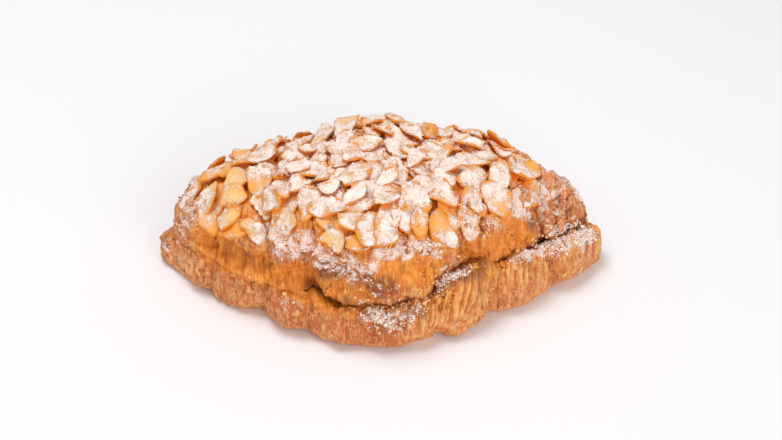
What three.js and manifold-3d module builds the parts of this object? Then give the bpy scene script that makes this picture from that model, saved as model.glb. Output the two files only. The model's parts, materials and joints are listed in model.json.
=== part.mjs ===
// Almond croissant: a rolled pastry split through its middle, spread with almond cream,
// closed again and covered with flaked almonds.
// Millimetres. +X runs along the croissant, +Y to its back and +Z up.
// The origin is on the table, below the middle of the croissant.
import * as THREE from "three";
import { LoftGeometry } from "three/addons/geometries/LoftGeometry.js";
import { mergeVertices } from "three/addons/utils/BufferGeometryUtils.js";
import Module from "manifold-3d";

// Bottom half
const LENGTH = 174; // tip to tip
const WIDTH = 106; // front to back
const PLAN_POWER = 1.42; // 1 is a lozenge in plan, 2 an ellipse
const PLAN_REACH = 0.98; // below 1 the spindle is cut short, with blunt ends
const TIP_ROUND = 6; // higher is a squarer tip in plan
const TIP_BEND = 7; // how far both tips are bent to the back
const ROLL_ANGLES = [-62, -36, -10, 16, 41, 66, 90]; // points round the side roll, in degrees
const ROLL_LIMIT = 0.75; // largest radius of the side roll, as a share of the half-width
const SOLE_SHARE = 0.14; // how much of the side roll's radius is pressed flat below
const RAISED = { at: 30, spread: 10, by: 3 }; // where the front roll stands up in front of the top half
const RAISED_ANGLES = [-10, 50]; // where round the roll that starts and is full, in degrees

// The cut between the halves
const CUT_HEIGHT = 16.5;
const CUT_CLIMB = 1.5; // how much higher it is at the right tip
const CUT_TIP_ROUND = 8; // higher is a taller tip
const CUT_GAP = 2.2; // open seam between the two crusts, in the middle
const TIP_GAP = 0.5; // and where it closes at the tips
const DISH = 2.5; // how far the bottom half is hollowed for the cream
const DISH_POINTS = [0.6, 0, -0.6]; // shares of the dish's half-width
const DISH_LIMIT = 0.2; // smallest half-width of the dish, as a share of the bottom half's

// Almond cream
const CREAM_GAP = 0.35; // clearance to each half
const CREAM_INSET = 6; // how far it stays back from the lip
const CREAM_SQUEEZE = [
  { at: 46, spread: 5, by: 6 },
  { at: -46, spread: 7, by: 5 },
]; // where it comes out of the seam at the front
const CREAM_FROM = -66;
const CREAM_TO = 68;
const CREAM_SECTIONS = 28;
const CREAM_EDGE = 0.4; // roundness of its rim
const CREAM_POINTS = [0.2, 0.5, 0.8]; // points of its underside, as shares of its width

// Top half
const TOP_LENGTH = 162;
const TOP_SHIFT = -0.5; // it sits a little to the left
const TOP_WIDTH = 95;
const TOP_SET_BACK = 5; // how far its right end is pushed to the back
const SET_BACK_FROM = 8;
const SET_BACK_TO = 40;
const STOOD_BACK = [
  { at: 31, spread: 9, by: 4.5 },
  { at: 56, spread: 17, by: 3.5 },
]; // where its front stands back from the raised roll and the ledge on the right
const TOP_PLAN_POWER = 1.3;
const TOP_PLAN_REACH = 0.93;
const CREST = 51.5; // table to the top of the bare crust
const PROFILE_POWER = 1.9; // height along the length
const PROFILE_REACH = 0.86;
const DOME_POWER = 2.4; // section across the length
const DOME_STEPS = 10;
const LIP_RISE = 5; // cut face to the widest level
const LIP_TUCK = 2.5; // how far the cut face is tucked in under that
const LIP_MIDDLE = { up: 0.45, tucked: 0.3 }; // a point between the two, as shares
const CUT_POINTS = [-0.5, 0, 0.5]; // points of the cut face, as shares of its half-width
const LEAN = 0.07; // share by which the wraps draw in towards the crest
const LEAN_ROUNDS = 4; // passes that find the crust under a place
const CRUST_END = 0.99; // share of the half length where the crust counts as ended

// Wraps of the rolled dough, from the middle outwards, as shares of the half length
const WRAP_EDGES = [0, 0.27, 0.495, 0.755, 1];
const WRAP_MIDDLE = -0.03;
const WRAP_SWELL = 1.5; // roundness of one wrap
const WRAP_SWELL_POWER = 0.6; // lower is a flatter wrap with sharper edges
const WRAP_STEP = 2.2; // drop from one wrap to the next one out
const BOTTOM_RELIEF = 1.4; // how much bolder the wraps are below the cut
const RIDGE = 0.45; // height of the layers' edges
const RIDGES = 3; // in each wrap
const RELIEF_FADE = 8; // power by which the relief dies out at the tips
const LUMP = 0.7; // unevenness of the whole
const STEP_PINCH = 0.004; // half the length of a step between wraps
const TIP_STATIONS = [0.985, 0.998]; // closing sections of a tip

// Flaked almonds
const FLAKES = 112;
const FLAKE_SIDES = 7;
const FLAKE_LENGTH = [10, 15.5];
const FLAKE_SLIMNESS = [0.54, 0.68]; // width as a share of the length
const FLAKE_THICKNESS = 1.3;
const FLAKE_POINT = 0.28; // how much one end is drawn to a point
const FLAKE_TILT = 0.16; // largest chance slope
const FLAKE_SETTLE = 0.35; // share of the highest bump that a flake rides up on
const FLAKE_SINK = 0.5; // how far it is baked in
const FIELD_LEFT = -77; // ends of the almond field
const FIELD_RIGHT = 63;
const FIELD_WIDTH = 85;
const FIELD_POWER = 1.6;
const CELL = 1; // grid on which the flakes are laid
const SPREAD = [0.7548776662, 0.569840291]; // steps that scatter places evenly in plan
const WELD = 0.05; // tidies the slivers where flakes cross
const MERGE = 1e-4; // corners closer than this are one

// Colours and finishes
const CRUST = { color: 0xc77a3f, roughness: 0.5, metalness: 0 };
const TOP_CRUST = { color: 0xe0b48c, roughness: 0.65, metalness: 0 };
const CREAM = { color: 0xf0c988, roughness: 0.6, metalness: 0 };

const wasm = await Module();
wasm.setup();

// Superellipse: 1 in the middle, 0 at s = -1 and s = 1
function arch(s, power) {
  return Math.pow(Math.max(0, 1 - Math.pow(Math.abs(s), power)), 1 / power);
}

// Spindle with blunt, rounded ends
function spindle(s, power, reach) {
  return arch(reach * s, power) * arch(s, TIP_ROUND);
}

function mix(low, high, share) {
  return low + (high - low) * share;
}

function fraction(value) {
  return value - Math.floor(value);
}

// Repeatable chance number from 0 to 1
function chance(index, draw) {
  return fraction(Math.sin(index * 12.9898 + draw * 78.233) * 43758.5453);
}

// A bulge or hollow that fades out along the length
function swelling({ at, spread, by }, x) {
  return by * Math.exp(-Math.pow((x - at) / spread, 2));
}

function reliefFade(s) {
  return 1 - Math.pow(Math.abs(s), RELIEF_FADE);
}

// Relief of the rolled wraps over the smooth spindle
function wrapRelief(s) {
  const reach = s > WRAP_MIDDLE ? 1 - WRAP_MIDDLE : 1 + WRAP_MIDDLE;
  const t = Math.abs(s - WRAP_MIDDLE) / reach;
  const wrap = Math.max(1, WRAP_EDGES.findIndex((edge) => t <= edge));
  const inner = wrap === 1 ? -WRAP_EDGES[1] : WRAP_EDGES[wrap - 1];
  const share = (t - inner) / (WRAP_EDGES[wrap] - inner);
  const swell = WRAP_SWELL * Math.pow(Math.max(0, Math.sin(Math.PI * share)), WRAP_SWELL_POWER);
  const step = wrap === 1 ? WRAP_STEP / 2 : WRAP_STEP * (share - 0.5);
  const ridge = RIDGE * Math.cos(2 * Math.PI * RIDGES * share);
  return (swell + step + ridge) * reliefFade(s);
}

// Slow unevenness round the section, by place along the length and angle
function lump(s, angle) {
  const waves = Math.sin(9 * s + 2 * angle + 0.6) + 0.6 * Math.sin(19 * s - 3 * angle + 2.1);
  return LUMP * waves * reliefFade(s);
}

// Places of the sections: evenly in every wrap, with a close pair at each step
function wrapStations() {
  const steps = 2 * RIDGES;
  const shares = [];
  for (let wrap = 1; wrap < WRAP_EDGES.length; wrap++) {
    const last = wrap === WRAP_EDGES.length - 1;
    const inner = WRAP_EDGES[wrap - 1] + (wrap > 1 ? STEP_PINCH : 0);
    const outer = WRAP_EDGES[wrap] - STEP_PINCH;
    for (let i = 0; i < (last ? steps : steps + 1); i++) shares.push(mix(inner, outer, i / steps));
  }
  shares.push(...TIP_STATIONS);
  const right = shares.map((t) => WRAP_MIDDLE + t * (1 - WRAP_MIDDLE));
  const left = shares.slice(1).map((t) => WRAP_MIDDLE - t * (1 + WRAP_MIDDLE));
  return [...left.reverse(), ...right];
}

// Height of the middle of the seam at a place along the length
function cutHeight(x) {
  const s = (2 * x) / LENGTH;
  return (CUT_HEIGHT + CUT_CLIMB * s) * arch(s, CUT_TIP_ROUND);
}

// Half the opening of the seam
function halfGap(x) {
  return mix(TIP_GAP, CUT_GAP, arch((2 * x) / LENGTH, 2)) / 2;
}

function axisOffset(x) {
  return TIP_BEND * Math.pow((2 * x) / LENGTH, 2);
}

// The top half doesn't lie quite straight on the bottom half
function topOffset(x) {
  return axisOffset(x) + TOP_SET_BACK * THREE.MathUtils.smoothstep(x, SET_BACK_FROM, SET_BACK_TO);
}

// Half-width of the bottom half without its relief
function bottomHalfWidth(x) {
  const relief = BOTTOM_RELIEF * (WRAP_SWELL + WRAP_STEP / 2);
  return (WIDTH / 2 - relief) * spindle((2 * x) / LENGTH, PLAN_POWER, PLAN_REACH);
}

// The hollow in the bottom half's cut face
function dishAt(x) {
  const height = cutHeight(x) - halfGap(x);
  return {
    height,
    half: Math.max(DISH_LIMIT * bottomHalfWidth(x), bottomHalfWidth(x) - height / 2 - WRAP_STEP),
    depth: DISH * reliefFade((2 * x) / LENGTH),
  };
}

// Bottom half: a flat sole, a fat roll along both sides and a dished cut face
function bottomSection(s) {
  const x = (s * LENGTH) / 2;
  const dish = dishAt(x);
  const tall = dish.height;
  const half = bottomHalfWidth(x) + BOTTOM_RELIEF * wrapRelief(s);
  const roll = tall / 2;
  const reach = Math.min(roll, ROLL_LIMIT * half);
  const sole = SOLE_SHARE * roll;
  const points = [];
  const put = (y, z) => points.push(new THREE.Vector3(x, axisOffset(x) + y, z));
  const [raisedFrom, raisedTo] = RAISED_ANGLES.map(THREE.MathUtils.degToRad);
  const side = (sign, angle) => {
    const out = half + lump(s, sign + angle) * Math.cos(angle);
    const z = (roll * (1 + Math.sin(angle)) - sole) * (tall / (tall - sole));
    const raised = THREE.MathUtils.smoothstep(angle, raisedFrom, raisedTo) * swelling(RAISED, x);
    put(sign * (out - reach + reach * Math.cos(angle)), Math.max(0, z) + (sign < 0 ? raised : 0));
  };
  const angles = ROLL_ANGLES.map(THREE.MathUtils.degToRad);
  angles.forEach((angle) => side(1, angle));
  DISH_POINTS.forEach((across) => put(across * dish.half, tall - dish.depth * (1 - across * across)));
  [...angles].reverse().forEach((angle) => side(-1, angle));
  DISH_POINTS.forEach((across) => put(-across * dish.half, 0));
  return points;
}

// Shape of the top half at one section
function topShape(s) {
  const x = TOP_SHIFT + (s * TOP_LENGTH) / 2;
  const relief = wrapRelief(s);
  const cut = cutHeight(x) + halfGap(x);
  const profile = spindle(s, PROFILE_POWER, PROFILE_REACH);
  const plan = spindle(s, TOP_PLAN_POWER, TOP_PLAN_REACH);
  const wide = cut + LIP_RISE * profile;
  const crown = CREST - WRAP_SWELL - WRAP_STEP / 2 - CUT_HEIGHT;
  const smoothHalf = (TOP_WIDTH / 2 - WRAP_SWELL - WRAP_STEP / 2) * plan;
  return {
    x,
    cut,
    wide,
    smoothHalf,
    half: smoothHalf + relief,
    rise: CUT_HEIGHT + crown * profile - wide + relief,
    tuck: LIP_TUCK * plan,
    hollow: STOOD_BACK.reduce((sum, hollow) => sum + swelling(hollow, x), 0),
  };
}

// Draws the wraps in towards the crest: a place along the length at a given height
function leanFactor(height) {
  return 1 - (LEAN * height) / (CREST - CUT_HEIGHT);
}

// Top half: a flat cut face, a tucked lip and a dome
function topSection(s) {
  const { x, cut, wide, half, rise, tuck, hollow } = topShape(s);
  const lipHalf = half - tuck;
  const lipMiddle = half - LIP_MIDDLE.tucked * tuck;
  const points = [];
  const put = (y, z) => {
    const leaning = TOP_SHIFT + (x - TOP_SHIFT) * leanFactor(z - cut);
    points.push(new THREE.Vector3(leaning, topOffset(x) + y, z));
  };
  put(lipHalf, cut);
  put(lipMiddle, mix(cut, wide, LIP_MIDDLE.up));
  for (let i = 0; i <= DOME_STEPS; i++) {
    const angle = (Math.PI * i) / DOME_STEPS;
    const across = Math.sign(Math.cos(angle)) * Math.pow(Math.abs(Math.cos(angle)), 2 / DOME_POWER);
    const up = Math.pow(Math.sin(angle), 2 / DOME_POWER);
    const bump = lump(s, angle);
    put(across * (half - (across < 0 ? hollow : 0) + bump), wide + up * (rise + bump));
  }
  put(hollow - lipMiddle, mix(cut, wide, LIP_MIDDLE.up));
  put(hollow - lipHalf, cut);
  CUT_POINTS.forEach((across) => put(across * lipHalf, cut));
  return points;
}

// Almond cream: fills the dish, and comes out of the seam in a few places at the front
function creamSection(x) {
  const dish = dishAt(x);
  const top = topShape((x - TOP_SHIFT) / (TOP_LENGTH / 2));
  const floor = dish.height + CREAM_GAP;
  const ceiling = top.cut - CREAM_GAP;
  const middle = (floor + ceiling) / 2;
  const half = top.smoothHalf - top.tuck - CREAM_INSET;
  const back = topOffset(x) + half;
  const inset = topOffset(x) - half + top.hollow;
  const front = CREAM_SQUEEZE.reduce((edge, bulge) => edge - swelling(bulge, x), inset);
  const points = [];
  const put = (y, z) => points.push(new THREE.Vector3(x, y, z));
  put(back - CREAM_EDGE, floor);
  put(back, middle);
  put(back - CREAM_EDGE, ceiling);
  put(mix(front, back, 0.5), ceiling);
  put(front + CREAM_EDGE, ceiling);
  put(front, middle);
  put(front + CREAM_EDGE, floor);
  for (const share of CREAM_POINTS) {
    const y = mix(front, back, share);
    const across = Math.min(1, Math.abs(y - axisOffset(x)) / dish.half);
    put(y, floor - dish.depth * (1 - across * across));
  }
  return points;
}

// Height of the bare crust above the table at a place in plan, or 0 outside it
function crustHeight(x, y) {
  let top = 0;
  let lean = 1;
  for (let round = 0; round < LEAN_ROUNDS; round++) {
    const s = (x - TOP_SHIFT) / ((TOP_LENGTH / 2) * lean);
    if (Math.abs(s) >= CRUST_END) return 0;
    const { x: upright, cut, wide, half, rise, hollow } = topShape(s);
    const out = y - topOffset(upright);
    const across = out / (half - (out < 0 ? hollow : 0));
    if (Math.abs(across) >= 1) return 0;
    const angle = Math.acos(Math.sign(across) * Math.pow(Math.abs(across), DOME_POWER / 2));
    top = wide + (rise + lump(s, angle)) * arch(across, DOME_POWER);
    lean = leanFactor(top - cut);
  }
  return top;
}

// Lays the flakes one after another, each settling on the crust and the flakes below it
function layFlakes(count) {
  const columns = Math.ceil(LENGTH / CELL);
  const rows = Math.ceil(WIDTH / CELL);
  const placeOf = (i, cells) => (i + 0.5 - cells / 2) * CELL;
  const heights = new Float64Array(columns * rows);
  for (let j = 0; j < rows; j++) {
    for (let i = 0; i < columns; i++) {
      heights[j * columns + i] = crustHeight(placeOf(i, columns), placeOf(j, rows));
    }
  }
  const flakes = [];
  for (let index = 1; flakes.length < count; index++) {
    const x = mix(FIELD_LEFT, FIELD_RIGHT, fraction(index * SPREAD[0]));
    const y = FIELD_WIDTH * (fraction(index * SPREAD[1]) - 0.5) + topOffset(x);
    const along = (2 * x - FIELD_LEFT - FIELD_RIGHT) / (FIELD_RIGHT - FIELD_LEFT);
    const across = (y - topOffset(x)) / (FIELD_WIDTH / 2);
    if (Math.pow(Math.abs(along), FIELD_POWER) + Math.pow(Math.abs(across), FIELD_POWER) > 1) continue;
    const length = mix(...FLAKE_LENGTH, chance(index, 1));
    const width = length * mix(...FLAKE_SLIMNESS, chance(index, 2));
    const spin = 2 * Math.PI * chance(index, 3);
    const under = [];
    const span = Math.ceil(length / 2 / CELL);
    const midColumn = Math.floor(x / CELL + columns / 2);
    const midRow = Math.floor(y / CELL + rows / 2);
    for (let j = Math.max(0, midRow - span); j <= Math.min(rows - 1, midRow + span); j++) {
      for (let i = Math.max(0, midColumn - span); i <= Math.min(columns - 1, midColumn + span); i++) {
        const dx = placeOf(i, columns) - x;
        const dy = placeOf(j, rows) - y;
        const p = dx * Math.cos(spin) + dy * Math.sin(spin);
        const q = dy * Math.cos(spin) - dx * Math.sin(spin);
        const inside = Math.pow((2 * p) / length, 2) + Math.pow((2 * q) / width, 2) < 1;
        const cell = j * columns + i;
        if (inside && heights[cell] > 0) under.push({ cell, p, q, height: heights[cell] });
      }
    }
    const sum = (term) => under.reduce((total, c) => total + term(c), 0);
    const mean = sum((c) => c.height) / under.length;
    const tilt = (draw) => FLAKE_TILT * (2 * chance(index, draw) - 1);
    const slopeP = sum((c) => c.p * (c.height - mean)) / sum((c) => c.p * c.p) + tilt(4);
    const slopeQ = sum((c) => c.q * (c.height - mean)) / sum((c) => c.q * c.q) + tilt(5);
    const plane = (c) => mean + slopeP * c.p + slopeQ * c.q;
    const lift = FLAKE_SETTLE * Math.max(...under.map((c) => c.height - plane(c)));
    for (const c of under) {
      heights[c.cell] = Math.max(c.height, plane(c) + lift + FLAKE_THICKNESS);
    }
    flakes.push({ x, y, z: mean + lift - FLAKE_SINK, length, width, spin, slopeP, slopeQ });
  }
  return flakes;
}

// One flake as a plate with an almond's outline, placed where it was laid
function flakeGeometry({ x, y, z, length, width, spin, slopeP, slopeQ }) {
  const outline = [];
  for (let i = 0; i < FLAKE_SIDES; i++) {
    const angle = (2 * Math.PI * i) / FLAKE_SIDES;
    const across = (width / 2) * Math.sin(angle) * (1 - FLAKE_POINT * Math.cos(angle));
    outline.push(new THREE.Vector2((length / 2) * Math.cos(angle), across));
  }
  const options = { depth: FLAKE_THICKNESS, bevelEnabled: false };
  const plate = new THREE.ExtrudeGeometry(new THREE.Shape(outline), options);
  const alongFlake = new THREE.Vector3(Math.cos(spin), Math.sin(spin), slopeP).normalize();
  const acrossFlake = new THREE.Vector3(-Math.sin(spin), Math.cos(spin), slopeQ);
  const normal = alongFlake.clone().cross(acrossFlake).normalize();
  const frame = new THREE.Matrix4().makeBasis(alongFlake, normal.clone().cross(alongFlake), normal);
  return plate.applyMatrix4(frame.setPosition(x, y, z));
}

// Closed geometry to a solid that can be joined
function solidOf(geometry) {
  const bare = new THREE.BufferGeometry();
  bare.setAttribute("position", geometry.attributes.position);
  bare.setIndex(geometry.index);
  const merged = mergeVertices(bare, MERGE);
  return new wasm.Manifold(
    new wasm.Mesh({
      numProp: 3,
      vertProperties: merged.attributes.position.array,
      triVerts: new Uint32Array(merged.index.array),
    }),
  );
}

function geometryOf(solid) {
  const mesh = solid.getMesh();
  const geometry = new THREE.BufferGeometry();
  geometry.setAttribute("position", new THREE.BufferAttribute(mesh.vertProperties, 3));
  geometry.setIndex(new THREE.BufferAttribute(mesh.triVerts, 1));
  geometry.computeVertexNormals();
  return geometry;
}

// Joins the flakes to the crust, and keeps the outer skin of the largest body
function withFlakes(crust) {
  const flakes = layFlakes(FLAKES).map((flake) => solidOf(flakeGeometry(flake)));
  const joined = wasm.Manifold.union([crust, ...flakes]).simplify(WELD);
  const bodies = joined.decompose();
  return bodies.sort((a, b) => b.volume() - a.volume())[0];
}

function loft(sections) {
  return solidOf(new LoftGeometry(sections, { capStart: true, capEnd: true }));
}

function piece(name, solid, finish) {
  const mesh = new THREE.Mesh(geometryOf(solid), new THREE.MeshStandardMaterial(finish));
  mesh.name = name;
  return mesh;
}

const stations = wrapStations();
const creamPlaces = Array.from({ length: CREAM_SECTIONS }, (_, i) =>
  mix(CREAM_FROM, CREAM_TO, i / (CREAM_SECTIONS - 1)),
);

const croissant = new THREE.Group();
croissant.add(piece("bottom_half", loft(stations.map(bottomSection)), CRUST));
croissant.add(piece("almond_cream", loft(creamPlaces.map(creamSection)), CREAM));
croissant.add(piece("top_half", withFlakes(loft(stations.map(topSection))), TOP_CRUST));

export default croissant;
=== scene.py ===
"""Almond croissant: layered crust, almond cream, flaked almonds, icing sugar and crumbs,
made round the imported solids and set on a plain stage. All lengths are in metres."""

import json
import math

import bmesh
import bpy
import numpy as np
from bpy.props import FloatProperty, FloatVectorProperty, IntProperty, PointerProperty
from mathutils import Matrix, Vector
from mathutils.bvhtree import BVHTree

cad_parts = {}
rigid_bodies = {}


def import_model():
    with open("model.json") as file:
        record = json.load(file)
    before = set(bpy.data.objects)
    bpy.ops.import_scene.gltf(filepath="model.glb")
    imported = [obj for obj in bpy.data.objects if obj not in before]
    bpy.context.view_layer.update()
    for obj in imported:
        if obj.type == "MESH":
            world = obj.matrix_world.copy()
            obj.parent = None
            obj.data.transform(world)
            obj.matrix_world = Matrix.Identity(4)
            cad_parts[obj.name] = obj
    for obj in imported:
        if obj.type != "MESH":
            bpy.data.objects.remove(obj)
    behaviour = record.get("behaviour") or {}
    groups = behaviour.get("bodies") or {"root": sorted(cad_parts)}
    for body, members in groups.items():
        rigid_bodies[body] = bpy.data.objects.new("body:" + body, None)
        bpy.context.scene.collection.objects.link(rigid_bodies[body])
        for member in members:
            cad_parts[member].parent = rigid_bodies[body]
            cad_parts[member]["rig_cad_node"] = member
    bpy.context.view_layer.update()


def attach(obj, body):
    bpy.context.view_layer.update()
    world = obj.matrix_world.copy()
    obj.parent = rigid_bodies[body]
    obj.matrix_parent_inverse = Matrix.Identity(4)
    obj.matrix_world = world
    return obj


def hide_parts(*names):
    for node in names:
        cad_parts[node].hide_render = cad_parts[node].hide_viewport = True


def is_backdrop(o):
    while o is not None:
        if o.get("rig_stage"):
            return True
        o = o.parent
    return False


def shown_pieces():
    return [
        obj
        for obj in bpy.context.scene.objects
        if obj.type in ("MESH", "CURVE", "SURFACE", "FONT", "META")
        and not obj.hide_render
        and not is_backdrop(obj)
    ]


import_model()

bl_info = {
    "name": "Almond croissant",
    "version": (1, 0, 0),
    "blender": (4, 5, 0),
    "location": "3D View > Sidebar > Croissant",
    "description": "Makes an almond croissant with its crust, cream, almonds, sugar and crumbs",
    "category": "Add Mesh",
}

MM = 0.001

# Seeds of the random draws and of the noise
BOTTOM_RINGS_SEED, TOP_RINGS_SEED, SHEETS_SEED, CRUMBS_SEED, GRAINS_SEED = 3, 4, 13, 5, 9
BOTTOM_SEED, TOP_SEED, BOTTOM_STRAY_SEED, TOP_STRAY_SEED, LIP_SEED = 11, 23, 41, 57, 61
CREAM_SEED, DUST_SEED, SHEET_PATCH_SEED, CAKED_SEED = 71, 83, 91, 131

# Form of the two halves
PLAN_POWER = 1.42
PLAN_REACH = 0.98
TOP_PLAN_POWER = 1.3
TOP_PLAN_REACH = 0.93
PROFILE_POWER = 1.9
PROFILE_REACH = 0.86
DOME_POWER = 2.4
TIP_ROUND = 6
CUT_TIP_ROUND = 8
SOLE_SHARE = 0.14
ROLL_LIMIT = 0.75
ROLL_FROM, ROLL_TO = math.radians(-62), math.radians(90)
DISH_LIMIT = 0.2
ROLL_AROUND, ROLL_TURN = 40 * MM, 8 * MM
TRIM_LIMIT = 0.2
SOLE_EDGE = 0.2 * MM, 3 * MM
RAISED_FROM, RAISED_TO = math.radians(-20), math.radians(75)
RAISED_RIM = 0.74, 0.86
END_GROOVES = (62 * MM, 68 * MM, 72.5 * MM)
GROOVE_WIDTH, GROOVE_DEPTH = 1.2 * MM, 1.7 * MM
DOME_AROUND, LIP_AROUND, LIP_SIDE = 25 * MM, 5 * MM, 50 * MM
LIP_RAGGED, LIP_RAGGED_CELL, LIP_SAG = 1.1 * MM, 6 * MM, 0.85
NEAR_CUT = 0.5 * MM, 6 * MM
WAIST_FLARE = 0.3
LEFT_RECESS = 5 * MM
LEAN = 0.07
LEAN_ROUNDS = 4
CRUST_END = 0.99
LAST_RING = 0.998

# Slow waves of the lumps: the height, the turns along and around the croissant and the phase of each
LUMP_WAVES = ((1, 9, 2, 0.6), (0.6, 19, -3, 2.1))

# Where the top half's front stands back and the bottom half's is drawn in: place, spread and how far,
# the first as a share
STOOD_BACK = ((31 * MM, 9 * MM, 0.9), (56 * MM, 17 * MM, 0.7))
FRONT_TRIMS = (
    (-84 * MM, 10 * MM, 3 * MM), (-47 * MM, 11 * MM, 2.6 * MM), (-1 * MM, 9 * MM, 2.2 * MM),
    (43 * MM, 10 * MM, 4 * MM), (62 * MM, 13 * MM, 3.4 * MM),
)

# Runs along the length, or up the waist, in millimetres: where each starts, is full, wanes and ends.
# The raised rolls also have a share, and the closed seam at the left only wanes and ends
RAISED_ROLLS = ((-76, -64, -26, -18, 0.5), (18, 26, 39, 46, 2.1), (42, 50, 70, 82, 0.8))
SEAM_CLOSED_LEFT, SEAM_CLOSED_RIGHT = (-33, -24), (9, 16, 40, 47)
LEFT_RECESS_RUN = (-74, -62, -28, -19)
WAIST_RUN = (0, 5, 6, 15)

# Wraps of the rolled dough, from the middle outwards, as shares of the half length
WRAP_EDGES = np.array([0, 0.27, 0.495, 0.755, 1])
WRAP_MIDDLE = -0.03
WRAP_SWELL_POWER = 0.6
WRAP_SOFTNESS = 0.004
WRAP_SLANT = 0.045
BOTTOM_RELIEF = 1.4
LOBE_SWELL = 0.8 * MM
LOBE_AT, LOBE_SPREAD, LOBE_SLANT = 34 * MM, 9 * MM, 7 * MM
RIDGES = 3
RELIEF_FADE = 8

# Points of the halves' meshes, and where a dough layer has its rings, from its inner edge to its lip
RING_SHARES = (0.02, 0.22, 0.43, 0.64, 0.86, 0.97)
LAYER_UNEVENNESS = (0.35, 1.9)
ROLL_POINTS = 66
DISH_POINTS = 16
DISH_CROWDING = 0.5
SOLE_POINTS = 10
DOME_POINTS = 136
LIP_POINTS = 10
CUT_POINTS = 10
DOME_CROWDING = 0.55
# Rounds of evening out and the full height of how far a point stands out, for the painted highlight on
# crests and painted shade in hollows
RIDGE_ROUNDS, RIDGE_FULL = 12, 0.28 * MM

# Unevenness of the crust, and how far its layers' edges stray, as heights and cells in millimetres
FLAKY_HEIGHT, LUMP_HEIGHT, BLISTER_HEIGHT, PLEAT_HEIGHT = 0.75 * MM, 1.1 * MM, 0.7 * MM, 1.15 * MM
PEBBLE_HEIGHT, HEAPED_PEBBLES, HEAPED_LUMPS, HEAP_HEIGHT = 0.26 * MM, 0.5 * MM, 1.3 * MM, 0.5 * MM
BROWNED_RISE = 4 * MM
STRAYS = ((2.0, 16), (0.6, 5), (0.14, 1.4))

# Flaked almonds: the field that they cover, and how they are drawn
FIELD_LEFT, FIELD_RIGHT, FIELD_WIDTH, FIELD_POWER = -77 * MM, 63 * MM, 85 * MM, 1.6
FIELD_CELL = 1 * MM
LATE_FIELD = 0.86
FLAKE_SPREAD = (0.7548776662, 0.569840291)
FLAKE_SLIMNESS = (0.54, 0.68)
FLAKE_WIDER = 0.05
FIRST_LENGTH, LATE_LENGTHS, LATE_LENGTH_POWER = 1.06, (0.7, 1.2), 0.6
FLAKE_POINT = 0.28
FLAKE_TILT, FIRST_TILT, LATE_TILT = 0.16, 1.3, 2.5
FLAKE_CREST, CREST_CALM = (45 * MM, 51 * MM), 0.6
FLAKE_SETTLE = 0.35
FLAKE_SINK = 0.5 * MM
PILE_LIMIT, PILE_UNEVENNESS = 2.6 * MM, (0.7, 1.3)
FLAKE_TRIES = 900
BARE_FRONT_FROM, BARE_FRONT_TO, BARE_FRONT_BELOW = -42 * MM, -22 * MM, -30 * MM
BROKEN_BELOW, CHIPPED_ABOVE = 0.16, 0.87
FLAKE_JAG, CAKED_HEIGHT, CAKED_CELL = 0.35 * MM, 0.35 * MM, 2.6 * MM

# Mesh of a flake: points of its outline, and its rings by share of the outline and of the thickness
FLAKE_OUTLINE = 28
FLAKE_RINGS = (
    (0.22, 1.0), (0.45, 1.0), (0.67, 1.0), (0.86, 1.0), (0.955, 0.98),
    (0.99, 0.88), (1.0, 0.6), (0.995, 0.2), (0.95, 0.0), (0.5, 0.0),
)

# Waves round a flake: the height, the number of turns and the draw of the phase of each
FLAKE_UNEVENNESS = ((0.09, 2, 0), (0.07, 3, 1), (0.045, 5, 2), (0.025, 8, 9))
FLAKE_RIPPLES = ((0.45, 2, 12), (0.35, 3, 13))
FULL_PHASE = 6.3

# Stretches of crust that have a finish of their own, as places along them in millimetres
LEFT_FRONT = ((-65, -10, 22), (-57, -16, 20), (-44, -25, 22), (-31, -32, 21), (-22, -38, 20), (-11, -46, 22))
MIDDLE_FRONT = ((2, -46, 33), (12, -44, 32), (17, -41, 28))
MIDDLE_BROW = ((4, -40, 40), (14, -39, 39), (23, -35, 37))
RIGHT_FRONT = ((37, -24, 27), (45, -20, 23), (52, -15, 25))
SPLIT_LOBE = ((18, -45, 14), (27, -42, 18), (36, -36, 21), (39, -32, 23))
SMALL_LOBE = ((45, -26, 19), (51, -27, 17), (63, -18, 15))
LOW_LEFT = ((-61, -22, 10), (-47, -30, 12))
BROW = ((-18, -40, 33), (-8, -46, 30), (4, -48, 28))
LOBE_TOP = ((22, -37, 20), (28, -34, 23), (36, -29, 23))
RIGHT_SHOULDER = ((32, -23, 40), (39, -19, 33))
RIGHT_END = ((72, 1, 30), (77, 4, 26), (79, 11, 25))

# Where icing sugar lies thick or is missing, and where the crust is syrupy, brown, bulging or pale:
# a stretch, its spread in millimetres and an amount
SUGAR_BANDS = (
    (((-41, -27, 38), (-31, -33, 34)), 6, 0.75), (((-22, -38, 34), (-12, -43, 30), (5, -49, 29)), 6, 0.6),
    (((-52, -26, 18), (-47, -29, 18)), 4, 0.7), (((-36, -37, 16), (-31, -40, 16)), 4, 0.55),
    (((-78, -3, 20), (-73, -8, 25)), 6, 0.7), (((-18, -43, 20), (-6, -47, 20)), 4.5, 1.4),
    (((-2, -50, 19), (5, -50, 17), (14, -45, 18)), 6, 1.8), (LOBE_TOP, 5, 1.6),
    (RIGHT_SHOULDER, 6, 1.0), (MIDDLE_BROW, 5, 0.5), (((19, -33, 34), (24, -30, 34)), 5, 0.7),
    (((50, -6, 42), (56, -2, 39)), 6, 0.5),
    (((51, -20, 19), (60, -14, 20), (69, -7, 19), (79, 1, 16)), 5, 1.9),
)
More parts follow.
